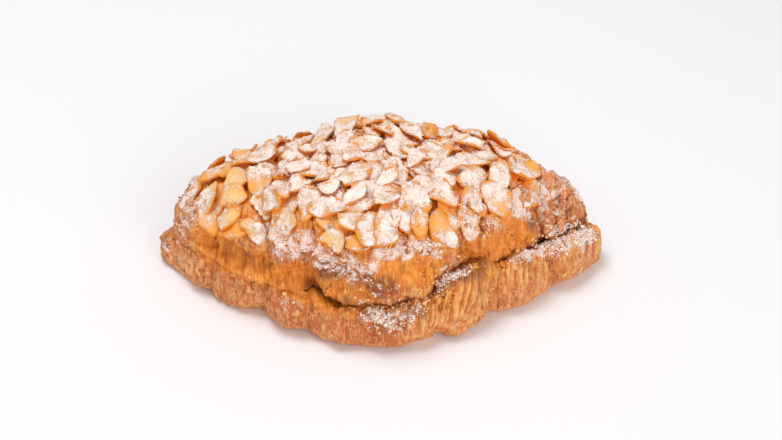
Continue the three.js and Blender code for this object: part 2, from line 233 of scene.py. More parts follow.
BARE_BANDS = (
    (((-63, 0, 39), (-54, 4, 44)), 7, 0.1), (((-51, -19, 36), (-44, -16, 41)), 6, 0.15),
    (((-30, -25, 44), (-17, -31, 45)), 6, 0.25), (((-4, -26, 48), (18, -25, 47)), 12, 0.24),
    (LEFT_FRONT, 6, 1.6), (MIDDLE_FRONT, 5, 1.3),
    (SPLIT_LOBE, 6, 1.6), (RIGHT_FRONT, 6, 1.6), (SMALL_LOBE, 5, 1.0), (LOW_LEFT, 8, 1.1),
    (((-24, -47, 9), (-15, -50, 9)), 7, 0.7), (((60, -6, 35), (73, 0, 31)), 7, 0.15),
)
SYRUP_BANDS = (
    (LEFT_FRONT, 6.5, 1.7), (MIDDLE_FRONT, 5.5, 1.4), (SPLIT_LOBE, 6, 0.5), (RIGHT_FRONT, 6, 1.4),
    (((22, -34, 31),), 5, 0.8), (((40, -31, 23),), 5, 0.8), (((45, -19, 17),), 4, 0.8),
)
BROWN_BANDS = (
    (BROW, 6, 0.6), (((-13, -50, 8), (0, -54, 9), (7, -52, 8)), 6, 0.45), (((-50, -22, 25),), 5, 0.6),
    (((-37, -30, 30),), 4, 0.35), (MIDDLE_BROW, 5, 0.6), (((-20, -40, 29),), 5, 0.5), (LOBE_TOP, 5, 0.7),
    (RIGHT_SHOULDER, 6, 0.35), (RIGHT_END, 5.5, 0.4), (((58, -12, 31),), 4, 0.7), (LOW_LEFT, 8, 0.25),
    (((-82, 2, 12), (-76, -7, 12)), 6, 0.1), (((-38, -36, 12), (-26, -43, 10)), 7, 0.3),
)
BULGE_BANDS = (
    (((-50, -22, 25),), 5, 1.6), (((-37, -30, 30),), 5, 1.2), (((-22, -39, 28),), 6, 1.4),
    (((-8, -46, 28), (4, -48, 29)), 5, 0.9),
)
PALE_BANDS = (
    (SPLIT_LOBE, 6, 1.7), (SMALL_LOBE, 6, 0.75), (((75, -11, 14), (81, -3, 12)), 6, 0.5),
    (((14, -44, 24),), 4, 0.5),
)

# How much sugar falls on each piece outside the bands
SUGAR_BASE = {
    "bottom_crust": 0.2, "top_crust": 0.48, "torn_layers": 0.4, "almond_flakes": 0.55, "crumbs": 0.6,
}


def linear(code):
    """Linear colour of an RRGGBB code."""
    parts = [int(code[i : i + 2], 16) / 255 for i in (0, 2, 4)]
    return tuple(p / 12.92 if p <= 0.04045 else ((p + 0.055) / 1.055) ** 2.4 for p in parts)


def size(name, description, millimetres):
    """A length that a user may change."""
    return FloatProperty(
        name=name, description=description, default=millimetres * MM, precision=5, unit="LENGTH"
    )


def tone(name, description, code):
    """A colour that a user may change."""
    return FloatVectorProperty(
        name=name, description=description, default=linear(code), min=0, max=1, subtype="COLOR"
    )


class CroissantSizes(bpy.types.PropertyGroup):
    """Sizes of the croissant's pieces"""

    length: size("Length", "Tip to tip, over the bottom half", 174)
    width: size("Width", "Front to back, over the bottom half", 106)
    tip_bend: size("Tip bend", "How far both tips are bent to the back", 7)
    cut_height: size("Cut height", "Table to the middle of the seam", 16.5)
    cut_climb: size("Cut climb", "How much higher the seam is at the right tip", 1.5)
    cut_gap: size("Seam gap", "Open seam between the halves, in the middle", 2.2)
    tip_gap: size("Seam gap at the tips", "Open seam between the halves, at the tips", 0.5)
    dish: size("Dish", "How far the bottom half is hollowed for the cream", 2.5)
    top_length: size("Top length", "Tip to tip, over the top half", 162)
    top_shift: size("Top shift", "How far the top half sits to the right", -0.5)
    top_width: size("Top width", "Front to back, over the top half", 95)
    top_set_back: size("Top set-back", "How far the top half's right end is pushed back", 5)
    set_back_from: size("Set-back start", "Where the set-back starts", 8)
    set_back_to: size("Set-back end", "Where the set-back is full", 40)
    raised: size("Raised roll", "How far the front roll stands up right of the middle", 3)
    stood_back: size("Stood-back front", "How far the top half stands back from the raised roll", 5)
    crest: size("Crest", "Table to the top of the bare crust", 51.5)
    lip_rise: size("Lip rise", "Cut face to the top half's widest level", 5)
    lip_tuck: size("Lip tuck", "How far the top half's cut face is tucked in", 2.5)
    wrap_swell: size("Wrap swell", "Roundness of one wrap of dough", 1.5)
    wrap_step: size("Wrap step", "Drop from one wrap to the next one out", 2.2)
    ridge: size("Ridge", "Height of the broad ridges below the almonds", 0.45)
    lump: size("Lumps", "Slow unevenness of the whole", 0.7)
    layer_pitch: size("Layer pitch", "Spacing of the dough layers that show", 2.1)
    layer_step: size("Layer step", "Height of a dough layer's edge", 0.34)
    cream_inset: size("Cream inset", "How far the cream stays back from the lip", 6)
    cream_gap: size("Cream gap", "Clearance of the cream to each half", 0.35)
    flake_short: size("Shortest flake", "Length of the shortest whole almond flake", 10)
    flake_long: size("Longest flake", "Length of the longest whole almond flake", 15.5)
    flake_thickness: size("Flake thickness", "Thickness of an almond flake", 1.3)
    flakes: IntProperty(name="Flakes", description="Number of whole almond flakes", default=112)
    top_flakes: IntProperty(name="Top flakes", description="Most flakes laid over them", default=190)
    grains: IntProperty(name="Sugar grains", description="Number of clumps of icing sugar", default=9000)
    crumbs: IntProperty(name="Crumbs", description="Number of pastry and almond crumbs", default=3600)
    sheets: IntProperty(name="Torn layers", description="Number of torn sheets of pastry", default=750)


class CroissantColours(bpy.types.PropertyGroup):
    """Colours of the croissant's finishes and its stage"""

    golden: tone("Golden crust", "Crust that is lightly baked", "FFB06A")
    brown: tone("Brown crust", "Crust that is well baked", "D27038")
    # Painted shade: the crust's tone in its hollows, pits and creases and in the valleys of its bumps
    hollow_shade: tone("Hollows", "Crust in its hollows and pits", "BE5914")
    # Dark crust: the crust's own burnt edges and well-baked places, and also painted shade along the open
    # seam under the top half's lip
    dark: tone("Dark crust", "Crust at the burnt edges and in the seam", "7C3410")
    syrup: tone("Syrupy crust", "Crust soaked with syrup", "FF9214")
    # Pale dough of the layers' edges; also the tone of the painted highlight on the crust's crests and layer
    # lips
    layer: tone("Layer edges", "Pale edges of the dough layers", "FFCB84")
    # Inner dough laid open; also the tone of the painted highlight on fold crests and syrupy crests
    torn: tone("Torn dough", "Inner dough layers, laid open", "FFB04A")
    cream: tone("Almond cream", "Baked almond cream", "F3CC85")
    almond: tone("Almond", "Flesh of an almond flake", "FFD595")
    toasted: tone("Toasted almond", "Toasted almond flake", "F6A843")
    rim: tone("Almond rim", "Rim of an almond flake", "E88C28")
    sugar: tone("Icing sugar", "Dusting of icing sugar", "FFF4F0")
    # Grey-mauve tone of the sugar: partly sugar melting on the warm crust, partly painted shade in the
    # powder's pits
    melt_and_pit_shade: tone("Melted sugar", "Dark pores where icing sugar has melted", "C39A80")
    floor: tone("Floor", "Pale floor", "EDEBED")


def mix(low, high, share):
    return low + (high - low) * share


def smoothstep(low, high, value):
    t = np.clip((value - low) / (high - low), 0, 1)
    return t * t * (3 - 2 * t)


def plateau(value, start, full, wane, end):
    """1 from full to wane, 0 before start and after end."""
    return smoothstep(start, full, value) * (1 - smoothstep(wane, end, value))


def between(start, end, count):
    """Even steps from start to end, without these two."""
    return np.linspace(start, end, count + 2)[None, 1:-1]


def arch(s, power):
    """Superellipse: 1 in the middle, 0 at s = -1 and s = 1."""
    return np.maximum(0.0, 1 - np.abs(s) ** power) ** (1 / power)


def spindle(s, power, reach):
    """Spindle with blunt, rounded ends."""
    return arch(reach * s, power) * arch(s, TIP_ROUND)


def swelling(x, at, spread):
    """A bulge of height 1 that fades out along the length."""
    return np.exp(-(((x - at) / spread) ** 2))


def banded(points, bands):
    """Sum of soft bands of crust. The back has the front's bands, turned half round."""
    total = np.zeros(points.shape[:-1])
    for turn, shown in ((1, 1), (-1, smoothstep(5 * MM, 15 * MM, points[..., 1]))):
        turned = points / MM * (turn, turn, 1)
        for stretch, spread, amount in bands:
            away = np.full(total.shape, np.inf)
            for start, end in zip(stretch, stretch[1:] or stretch):
                run = np.subtract(end, start)
                share = np.clip((turned - start) @ run / max(run @ run, 1), 0, 1)
                gap = turned - start - share[..., None] * run
                away = np.minimum(away, (gap**2).sum(-1))
            total += amount * shown * np.exp(-away / spread**2)
    return total


def chance(index, draw):
    """Repeatable chance number from 0 to 1."""
    value = np.sin(index * 12.9898 + draw * 78.233) * 43758.5453
    return value - np.floor(value)


def noise(points, cell, seed):
    """Smooth noise from -1 to 1, with features of about one cell."""
    scaled = np.asarray(points) / cell
    base = np.floor(scaled).astype(np.int64)
    weight = smoothstep(0, 1, scaled - base)
    primes = np.array([73856093, 19349663, 83492791])[: base.shape[-1]]
    total = np.zeros(base.shape[:-1])
    for corner in np.ndindex(*(2,) * base.shape[-1]):
        key = ((base + corner) * primes).sum(-1) + seed * 1013904223
        key = (key ^ (key >> 13)) * 1274126177
        key = (key ^ (key >> 16)) & 0xFFFF
        share = np.prod(np.where(corner, weight, 1 - weight), axis=-1)
        total += share * (key / 32767.5 - 1)
    return total


def layered_noise(points, cell, seed, octaves):
    """Noise with finer noise of half the size added to it, and so on."""
    return sum(noise(points, cell / 2**k, seed + k) / 2**k for k in range(octaves))


class Form:
    """Form of the two halves by s, the share of the half length from -1 to 1."""

    def __init__(self, sizes):
        self.sizes = sizes

    def cut_height(self, x):
        s = 2 * x / self.sizes.length
        return (self.sizes.cut_height + self.sizes.cut_climb * s) * arch(s, CUT_TIP_ROUND)

    def half_gap(self, x):
        return mix(self.sizes.tip_gap, self.sizes.cut_gap, arch(2 * x / self.sizes.length, 2)) / 2

    def axis(self, x):
        return self.sizes.tip_bend * (2 * x / self.sizes.length) ** 2

    def top_axis(self, x):
        pushed = smoothstep(self.sizes.set_back_from, self.sizes.set_back_to, x)
        return self.axis(x) + self.sizes.top_set_back * pushed

    def wraps(self, s):
        """Share of the half length from the middle, number of the wrap and share within it."""
        t = np.abs(s - WRAP_MIDDLE) / np.where(s > WRAP_MIDDLE, 1 - WRAP_MIDDLE, 1 + WRAP_MIDDLE)
        wrap = np.clip(np.searchsorted(WRAP_EDGES, t), 1, len(WRAP_EDGES) - 1)
        inner = np.where(wrap == 1, -WRAP_EDGES[1], WRAP_EDGES[wrap - 1])
        return t, wrap, (t - inner) / (WRAP_EDGES[wrap] - inner)

    def fade(self, s):
        return 1 - np.minimum(np.abs(s), 1) ** RELIEF_FADE

    def relief(self, s, ridge=0.0):
        """Relief of the wraps over the smooth spindle."""
        _, wrap, share = self.wraps(s)
        swell = self.sizes.wrap_swell * np.maximum(0, np.sin(np.pi * share)) ** WRAP_SWELL_POWER
        step = self.sizes.wrap_step * np.where(wrap == 1, 0.5, share - 0.5)
        return (swell + step + ridge * np.cos(2 * np.pi * RIDGES * share)) * self.fade(s)

    def soft_relief(self, s):
        """The same with its steps a little worn."""
        sides = self.relief(s - WRAP_SOFTNESS) + self.relief(s + WRAP_SOFTNESS)
        return (2 * self.relief(s) + sides) / 4

    def lump(self, s, angle):
        waves = sum(h * np.sin(along * s + around * angle + phase) for h, along, around, phase in LUMP_WAVES)
        return self.sizes.lump * waves * self.fade(s)

    def bottom_half_width(self, x):
        relief = BOTTOM_RELIEF * (self.sizes.wrap_swell + self.sizes.wrap_step / 2)
        return (self.sizes.width / 2 - relief) * spindle(2 * x / self.sizes.length, PLAN_POWER, PLAN_REACH)

    def dish(self, x):
        """Height, half-width and depth of the hollow in the bottom half's cut face."""
        height = self.cut_height(x) - self.half_gap(x)
        half = self.bottom_half_width(x)
        inside = np.maximum(DISH_LIMIT * half, half - height / 2 - self.sizes.wrap_step)
        return height, inside, self.sizes.dish * self.fade(2 * x / self.sizes.length)

    def hollow(self, x):
        """How far the top half's front stands back."""
        return self.sizes.stood_back * sum(share * swelling(x, at, wide) for at, wide, share in STOOD_BACK)

    def end_grooves(self, x):
        """Grooves between the small wraps at the top half's right end."""
        return GROOVE_DEPTH * sum(swelling(x, at, GROOVE_WIDTH) for at in END_GROOVES)

    def raised(self, x):
        """How far the bottom half's front roll stands up."""
        return self.sizes.raised * sum(share * plateau(x / MM, *run) for *run, share in RAISED_ROLLS)

    def top_section(self, s):
        """Place, cut face, widest level, half-width, rise and tuck of the top half, without relief."""
        sizes = self.sizes
        x = sizes.top_shift + s * sizes.top_length / 2
        relief = sizes.wrap_swell + sizes.wrap_step / 2
        cut = self.cut_height(x) + self.half_gap(x)
        profile = spindle(s, PROFILE_POWER, PROFILE_REACH)
        plan = spindle(s, TOP_PLAN_POWER, TOP_PLAN_REACH)
        wide = cut + sizes.lip_rise * profile
        rise = sizes.cut_height + (sizes.crest - relief - sizes.cut_height) * profile - wide
        return x, cut, wide, (sizes.top_width / 2 - relief) * plan, rise, sizes.lip_tuck * plan

    def lean(self, height):
        """How far the wraps draw in towards the crest at a height above the cut."""
        return 1 - LEAN * height / (self.sizes.crest - self.sizes.cut_height)

    def crust_height(self, x, y):
        """Height of the bare crust at places in plan, or 0 outside it."""
        sizes = self.sizes
        lean = np.ones_like(x)
        inside = np.ones_like(x, dtype=bool)
        for _ in range(LEAN_ROUNDS):
            s = (x - sizes.top_shift) / (sizes.top_length / 2 * lean)
            inside &= np.abs(s) < CRUST_END
            s = np.clip(s, -CRUST_END, CRUST_END)
            upright, cut, wide, half, rise, _ = self.top_section(s)
            relief = self.relief(s, sizes.ridge)
            out = y - self.top_axis(upright)
            across = out / (half + relief - np.where(out < 0, self.hollow(upright), 0))
            inside &= np.abs(across) < 1
            across = np.clip(across, -1, 1)
            angle = np.arccos(np.sign(across) * np.abs(across) ** (DOME_POWER / 2))
            top = wide + (rise + relief + self.lump(s, angle)) * arch(across, DOME_POWER)
            lean = self.lean(top - cut)
        return np.where(inside, top, 0)


def piece(name, points, faces, material, body="root"):
    """A smooth mesh that rides on a body."""
    mesh = bpy.data.meshes.new(name)
    mesh.from_pydata(np.asarray(points).reshape(-1, 3).tolist(), [], faces)
    mesh.materials.append(material)
    mesh.shade_smooth()
    made = bpy.data.objects.new(name, mesh)
    bpy.context.scene.collection.objects.link(made)
    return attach(made, body)


def paint(made, **numbers):
    """Stores one number for each point under each name, for the finish to read."""
    for name, values in numbers.items():
        layer = made.data.attributes.get(name) or made.data.attributes.new(name, "FLOAT", "POINT")
        layer.data.foreach_set("value", np.asarray(values, dtype=np.float32).ravel())


def blurred(values, rounds):
    """The same values, evened out over their neighbours."""
    for _ in range(rounds):
        values = (2 * values + np.roll(values, 1, 1) + np.roll(values, -1, 1)) / 4
        inner = (2 * values[1:-1] + values[:-2] + values[2:]) / 4
        values = np.concatenate([values[:1], inner, values[-1:]])
    return values


def tube_faces(rings, around):
    """Faces of a closed tube of rings, which turn from back over the top to the front."""
    r, i = np.meshgrid(np.arange(rings - 1), np.arange(around), indexing="ij")
    j = (i + 1) % around
    corners = [r * around + i, r * around + j, (r + 1) * around + j, (r + 1) * around + i]
    quads = np.stack(corners, -1).reshape(-1, 4).tolist()
    last = (rings - 1) * around
    return quads + [list(range(around))[::-1], list(range(last, last + around))]


def grid_normals(grid):
    """Outward directions of a tube's points."""
    around = np.roll(grid, -1, 1) - np.roll(grid, 1, 1)
    out = np.cross(around, np.gradient(grid, axis=0))
    return out / np.maximum(np.linalg.norm(out, axis=-1, keepdims=True), 1e-12)


class Rings:
    """Rings of a crust from tip to tip, which follow the edges of its dough layers.
    Each has s, its share of the half length, tooth, its share of its layer, and tint, its layer's chance."""

    def __init__(self, sizes, seed):
        rng = np.random.default_rng(seed)
        sides = []
        for reach in (1 + WRAP_MIDDLE, 1 - WRAP_MIDDLE):
            rows = []
            for inner, outer in zip(WRAP_EDGES, WRAP_EDGES[1:]):
                count = round((outer - inner) * reach * sizes.length / 2 / sizes.layer_pitch)
                edges = np.concatenate([[0], np.cumsum(rng.uniform(*LAYER_UNEVENNESS, count))])
                edges = mix(inner, outer, edges / edges[-1])
                for start, end in zip(edges, edges[1:]):
                    tint = rng.random()
                    rows += [(mix(start, end, share), share, tint) for share in RING_SHARES]
            sides.append(np.array(rows))
        left, right = sides
        left[:, 0] *= -(1 + WRAP_MIDDLE)
        right[:, 0] *= 1 - WRAP_MIDDLE
        s, self.tooth, self.tint = np.concatenate([left[::-1], right]).T[..., None]
        self.s = np.clip(WRAP_MIDDLE + s, -LAST_RING, LAST_RING)


def wander(form, s, around, seed):
    """How far the layers' edges stray along the croissant, by place along and around it."""
    spots = np.stack(np.broadcast_arrays(s * form.sizes.length / 2, around), -1)
    stray = sum(height * noise(spots, cell * MM, seed + k) for k, (height, cell) in enumerate(STRAYS))
    return MM * stray * form.fade(s)


def flaky_crust(form, grid, rings, shown, seed):
    """Adds layers, torn flaky edges, lumps and blisters to a smooth crust. Shown is 0 on plain faces.
    Returns the points, how far each is raised, 1 at the torn edges, and how strong the layers are."""
    _, _, share = form.wraps(rings.s)
    syrupy, pale = banded(grid, SYRUP_BANDS), banded(grid, PALE_BANDS)
    bold = np.clip(syrupy + 1.4 * pale, 0, 1.5)
    patches = smoothstep(0.0, 0.6, noise(grid, 9 * MM, seed))
    tall = form.sizes.layer_step * (0.2 + 1.3 * rings.tint)
    broken = smoothstep(-0.35, 0.45, noise(grid * [3, 1, 1], 5.5 * MM, seed + 40))
    lined = (0.12 + 0.6 * patches + np.clip(0.4 * syrupy + 1.4 * pale, 0, 1.5)) * (0.2 + broken)
    layers = tall * (smoothstep(-0.2, 0.9, rings.tooth) - 0.55) * lined
    torn = 2.6 * noise(grid * [1, 0.35, 0.35], 4.5 * MM, seed + 20)
    torn = torn + 1.1 * noise(grid * [1, 0.6, 0.6], 1.9 * MM, seed + 21) + 2.5 * share
    edge = torn - np.floor(torn)
    flaky = FLAKY_HEIGHT * (smoothstep(0, 0.2, edge) - edge)
    flaky = flaky * (0.3 + 0.7 * smoothstep(-0.3, 0.3, noise(grid, 7 * MM, seed + 22)))
    rough = np.clip(banded(grid, SUGAR_BANDS), 0, 1)
    lumps = LUMP_HEIGHT * layered_noise(grid, 9 * MM, seed + 5, 4)
    lumps = lumps + HEAPED_LUMPS * rough * layered_noise(grid, 5 * MM, seed + 31, 2)
    lumps = lumps + MM * banded(grid, BULGE_BANDS)
    pebbles = (PEBBLE_HEIGHT + HEAPED_PEBBLES * rough) * layered_noise(grid, 1.8 * MM, seed + 13, 2)
    blisters = BLISTER_HEIGHT * smoothstep(0.2, 0.7, noise(grid, 3.5 * MM, seed + 9))
    pleats = PLEAT_HEIGHT * bold * layered_noise(grid * [1, 0.25, 0.25], 4 * MM, seed + 50, 2)
    raised = layers + flaky / (1 + bold) + pleats + lumps + pebbles + blisters + HEAP_HEIGHT * rough
    raised = raised * shown
    edge = (1 - smoothstep(0.2, 0.35, edge)) * shown
    return grid + grid_normals(grid) * raised[..., None], raised, edge, lined


def crust_piece(name, form, rings, grid, shown, seed, colours):
    """A crust with all that its finish reads but its baking and the painted shade along its seam. Also gives
    its points and how brown its unevenness and its bands make it."""
    grid, raised, edge, lined = flaky_crust(form, grid, rings, shown, seed)
    grid[..., 2] = np.maximum(grid[..., 2], 0)
    made = piece(name, grid, tube_faces(*grid.shape[:2]), crust_finish(name, colours))
    tooth, tint = np.broadcast_to(rings.tooth, raised.shape), np.broadcast_to(rings.tint, raised.shape)
    # How far each point stands above or below its neighbours, which the finish turns into painted highlight
    # on crests and painted shade in hollows
    ridge = np.clip((raised - blurred(raised, RIDGE_ROUNDS)) / RIDGE_FULL, -1, 1)
    syrup, pale = banded(grid, SYRUP_BANDS), banded(grid, PALE_BANDS)
    paint(made, tooth=tooth, tint=tint, edge=edge, lined=lined, ridge=ridge, syrup=syrup, pale=pale)
    return made, grid, raised / BROWNED_RISE + banded(grid, BROWN_BANDS)


def roll_sides(form, rings, sign):
    """One side roll of the bottom half: places along, across and up."""
    s = rings.s
    angle = np.linspace(ROLL_FROM, ROLL_TO, ROLL_POINTS)[None, :]
    up = (1 + np.sin(angle)) / 2
    stray = wander(form, s, sign * (ROLL_AROUND + ROLL_TURN * angle), BOTTOM_STRAY_SEED)
    x = s / (1 + WRAP_SLANT * up * form.fade(s)) * form.sizes.length / 2 + stray
    if sign < 0:
        x = x + LOBE_SLANT * (up - 0.5) * swelling(x, LOBE_AT, LOBE_SPREAD)
    tall, _, _ = form.dish(x)
    half = form.bottom_half_width(x) + BOTTOM_RELIEF * form.soft_relief(s)
    reach = np.minimum(tall / 2, ROLL_LIMIT * half)
    sole = SOLE_SHARE * tall / 2
    _, _, share = form.wraps(s)
    lobes = LOBE_SWELL * (2 * np.maximum(0, np.sin(np.pi * share)) - 1) * form.fade(s)
    out = half + (form.lump(s, sign + angle) + lobes) * np.cos(angle)
    y = sign * (out - reach + reach * np.cos(angle))
    z = np.maximum(0, (tall * up - sole) * (tall / (tall - sole)))
    if sign < 0:
        trimmed = sum(trim * swelling(x, at, spread) for at, spread, trim in FRONT_TRIMS)
        y = y + np.minimum(trimmed, TRIM_LIMIT * half)
        z = z + form.raised(x) * smoothstep(RAISED_FROM, RAISED_TO, angle)
    return x, y + form.axis(x), z


def bottom_grid(form, rings):
    """Points of the bottom half, and 1 where crust shows."""
    back = roll_sides(form, rings, 1)
    front = [part[:, ::-1] for part in roll_sides(form, rings, -1)]
    x = mix(back[0][:, -1:], front[0][:, :1], 0.5)
    tall, inside, depth = form.dish(x)
    across = between(1, -1, DISH_POINTS)
    across = np.sign(across) * np.abs(across) ** DISH_CROWDING
    raised = form.raised(x) * smoothstep(*RAISED_RIM, -across)
    dish = x + 0 * across, across * inside + form.axis(x), tall - depth * (1 - across**2) + raised
    x = rings.s * form.sizes.length / 2
    across = between(-1, 1, SOLE_POINTS)
    sole = x + 0 * across, across * form.dish(x)[1] + form.axis(x), 0 * (x + across)
    grid = np.stack([np.concatenate(parts, 1) for parts in zip(back, dish, front, sole)], -1)
    return grid, smoothstep(*SOLE_EDGE, grid[..., 2])


def seam_closed(x):
    """How far the top half's lip sags onto the bottom half, from 0 to 1."""
    return 1 - smoothstep(*SEAM_CLOSED_LEFT, x / MM) + plateau(x / MM, *SEAM_CLOSED_RIGHT)


def top_grid(form, rings):
    """Points of the top half, and how close they are to the cut, from 1 to 0."""
    s = rings.s
    even = np.linspace(0, 1, DOME_POINTS)[None, :]
    angle = np.pi * (even - DOME_CROWDING * np.sin(2 * np.pi * even) / (2 * np.pi))
    up = np.linspace(0, 1, LIP_POINTS, endpoint=False)[None, :]
    across = between(-1, 1, CUT_POINTS)
    relief = form.soft_relief(s) - form.end_grooves(form.sizes.top_shift + s * form.sizes.top_length / 2)

    def section(around):
        strayed = s + wander(form, s, around, TOP_STRAY_SEED) / (form.sizes.top_length / 2)
        return form.top_section(np.clip(strayed, -LAST_RING, LAST_RING))

    def lip(sign):
        turn = (1 - sign) * np.pi / 2
        x, cut, wide, half, _, tuck = section(DOME_AROUND * turn - sign * LIP_AROUND * (1 - up))
        spots = np.stack(np.broadcast_arrays(x, sign * LIP_SIDE), -1)
        ragged = LIP_RAGGED * layered_noise(spots, LIP_RAGGED_CELL, LIP_SEED, 4) * form.fade(s)
        cut = cut - seam_closed(x) * 2 * form.half_gap(x) * LIP_SAG + ragged
        hollow = form.hollow(x) if sign < 0 else 0
        y = sign * (half + relief + form.lump(s, turn) - hollow - tuck * (1 - up) ** 2)
        return x, y, mix(cut, wide, up)

    x, _, wide, half, rise, _ = section(DOME_AROUND * angle)
    bump = form.lump(s, angle)
    side = np.sign(np.cos(angle)) * np.abs(np.cos(angle)) ** (2 / DOME_POWER)
    dome_z = wide + np.sin(angle) ** (2 / DOME_POWER) * (rise + relief + bump)
    dome = x, side * (half + relief + bump - np.where(side < 0, form.hollow(x), 0)), dome_z
    back, front = lip(1), [part[:, ::-1] for part in lip(-1)]
    x, cut, _, half, _, tuck = form.top_section(s)
    face = x + 0 * across, across * (half - tuck), cut + 0 * across
    x, y, z = (np.concatenate(parts, 1) for parts in zip(back, dome, front, face))
    high = np.maximum(0, z - form.cut_height(x) - form.half_gap(x))
    leaning = form.sizes.top_shift + (x - form.sizes.top_shift) * form.lean(high)
    waist = plateau(high / MM, *WAIST_RUN) - WAIST_FLARE * (1 - smoothstep(0, 3 * MM, high))
    recess = LEFT_RECESS * plateau(x / MM, *LEFT_RECESS_RUN) * waist * smoothstep(0, 8 * MM, -y)
    grid = np.stack([leaning, y + recess + form.top_axis(x), z], -1)
    return grid, 1 - smoothstep(*NEAR_CUT, high)


class Wire:
    """A node's socket that takes part in Python sums, which add Math nodes."""

    def __init__(self, finish, socket):
        self.finish = finish
        self.socket = socket

    def sum(self, operation, first, second):
        return self.finish.node("ShaderNodeMath", {"operation": operation}, {0: first, 1: second})

    def __add__(self, other):
        return self.sum("ADD", self, other)

    def __radd__(self, other):
        return self.sum("ADD", other, self)

    def __sub__(self, other):
        return self.sum("SUBTRACT", self, other)

    def __rsub__(self, other):
        return self.sum("SUBTRACT", other, self)

    def __mul__(self, other):
        return self.sum("MULTIPLY", self, other)

    def __rmul__(self, other):
        return self.sum("MULTIPLY", other, self)


class Finish:
    """A material whose nodes are written as expressions."""

    def __init__(self, name):
        self.material = bpy.data.materials.new(name)
        self.material.use_nodes = True
        self.tree = self.material.node_tree
        self.shader = self.tree.nodes["Principled BSDF"]
        self.place = self.node("ShaderNodeTexCoord", output="Object")

    def node(self, kind, settings=None, inputs=None, output=0):
        made = self.tree.nodes.new(kind)
        for name, value in (settings or {}).items():
            setattr(made, name, value)
        for key, value in (inputs or {}).items():
            self.feed(made.inputs[key], value)
        return Wire(self, made.outputs[output])

    def feed(self, socket, value):
        if isinstance(value, Wire):
            self.tree.links.new(value.socket, socket)
        else:
            socket.default_value = value

    def painted(self, name):
        return self.node("ShaderNodeAttribute", {"attribute_name": name}, output="Fac")

    def grain(self, feature, detail=2.0, roughness=0.5, stretch=(1, 1, 1)):
        """Noise with features of that size, longer along the axes whose stretch is below 1."""
        place = self.node("ShaderNodeVectorMath", {"operation": "MULTIPLY"}, {0: self.place, 1: stretch})
        inputs = {"Vector": place, "Scale": 1 / feature, "Detail": detail, "Roughness": roughness}
        return self.node("ShaderNodeTexNoise", inputs=inputs)

    def rise(self, value, low, high):
        """0 below low, 1 above high and smooth between."""
        inputs = {"Value": value, "From Min": low, "From Max": high}
        return self.node("ShaderNodeMapRange", {"interpolation_type": "SMOOTHSTEP"}, inputs)

    def blend(self, first, second, share):
        """A colour between two others."""
        inputs = {0: share, 6: self.colour(first), 7: self.colour(second)}
        return self.node("ShaderNodeMix", {"data_type": "RGBA"}, inputs, output=2)

    def coated(self, base, *coats):
        """A colour with others laid over it in turn, each by its share."""
        for colour, share in coats:
            base = self.blend(base, colour, share)
        return base

    def colour(self, value):
        return value if isinstance(value, Wire) else (*value, 1.0)

    def bump(self, height, distance):
        inputs = {"Height": height, "Distance": distance, "Strength": 1.0}
        return self.node("ShaderNodeBump", inputs=inputs)

    def done(self, **sockets):
        """Feeds the shader's own sockets, with spaces for their names' underscores."""
        for name, value in sockets.items():
            if isinstance(value, tuple):
                value = (*value, 1.0)
            self.feed(self.shader.inputs[name.replace("_", " ")], value)
        return self.material


def sugared(finish, base, dust, colours, full=0.93):
    """A colour under icing sugar, which lies closer where more dust fell. Where the powder is low it takes a
    grey-mauve tone, partly sugar melting into its pores and partly painted shade in the pits that the bump
    also sinks. Also gives the share of the surface under it and the powder's height."""
    fine = finish.grain(0.5 * MM, detail=2.0, roughness=0.7)
    specks = finish.grain(1.3 * MM, detail=3.0, roughness=0.65)
    patches = finish.grain(4.5 * MM, detail=2.0)
    powder = 0.2 * fine + 0.3 * specks + 0.5 * patches
    cover = finish.rise(dust + 1.8 * powder, 1.05, 1.6) * finish.rise(dust, 0.02, 0.2)
    # Where the powder stands high it is white, where low it takes the grey-mauve tone: partly melting sugar,
    # partly painted shade in the pits that the bump also sinks
    heaped = finish.rise(0.3 * fine + 0.35 * specks + 0.35 * patches + 0.1 * dust, 0.42, 0.66)
    sugar = finish.blend(colours.melt_and_pit_shade, colours.sugar, heaped)
    return finish.blend(base, sugar, cover * full), cover, powder


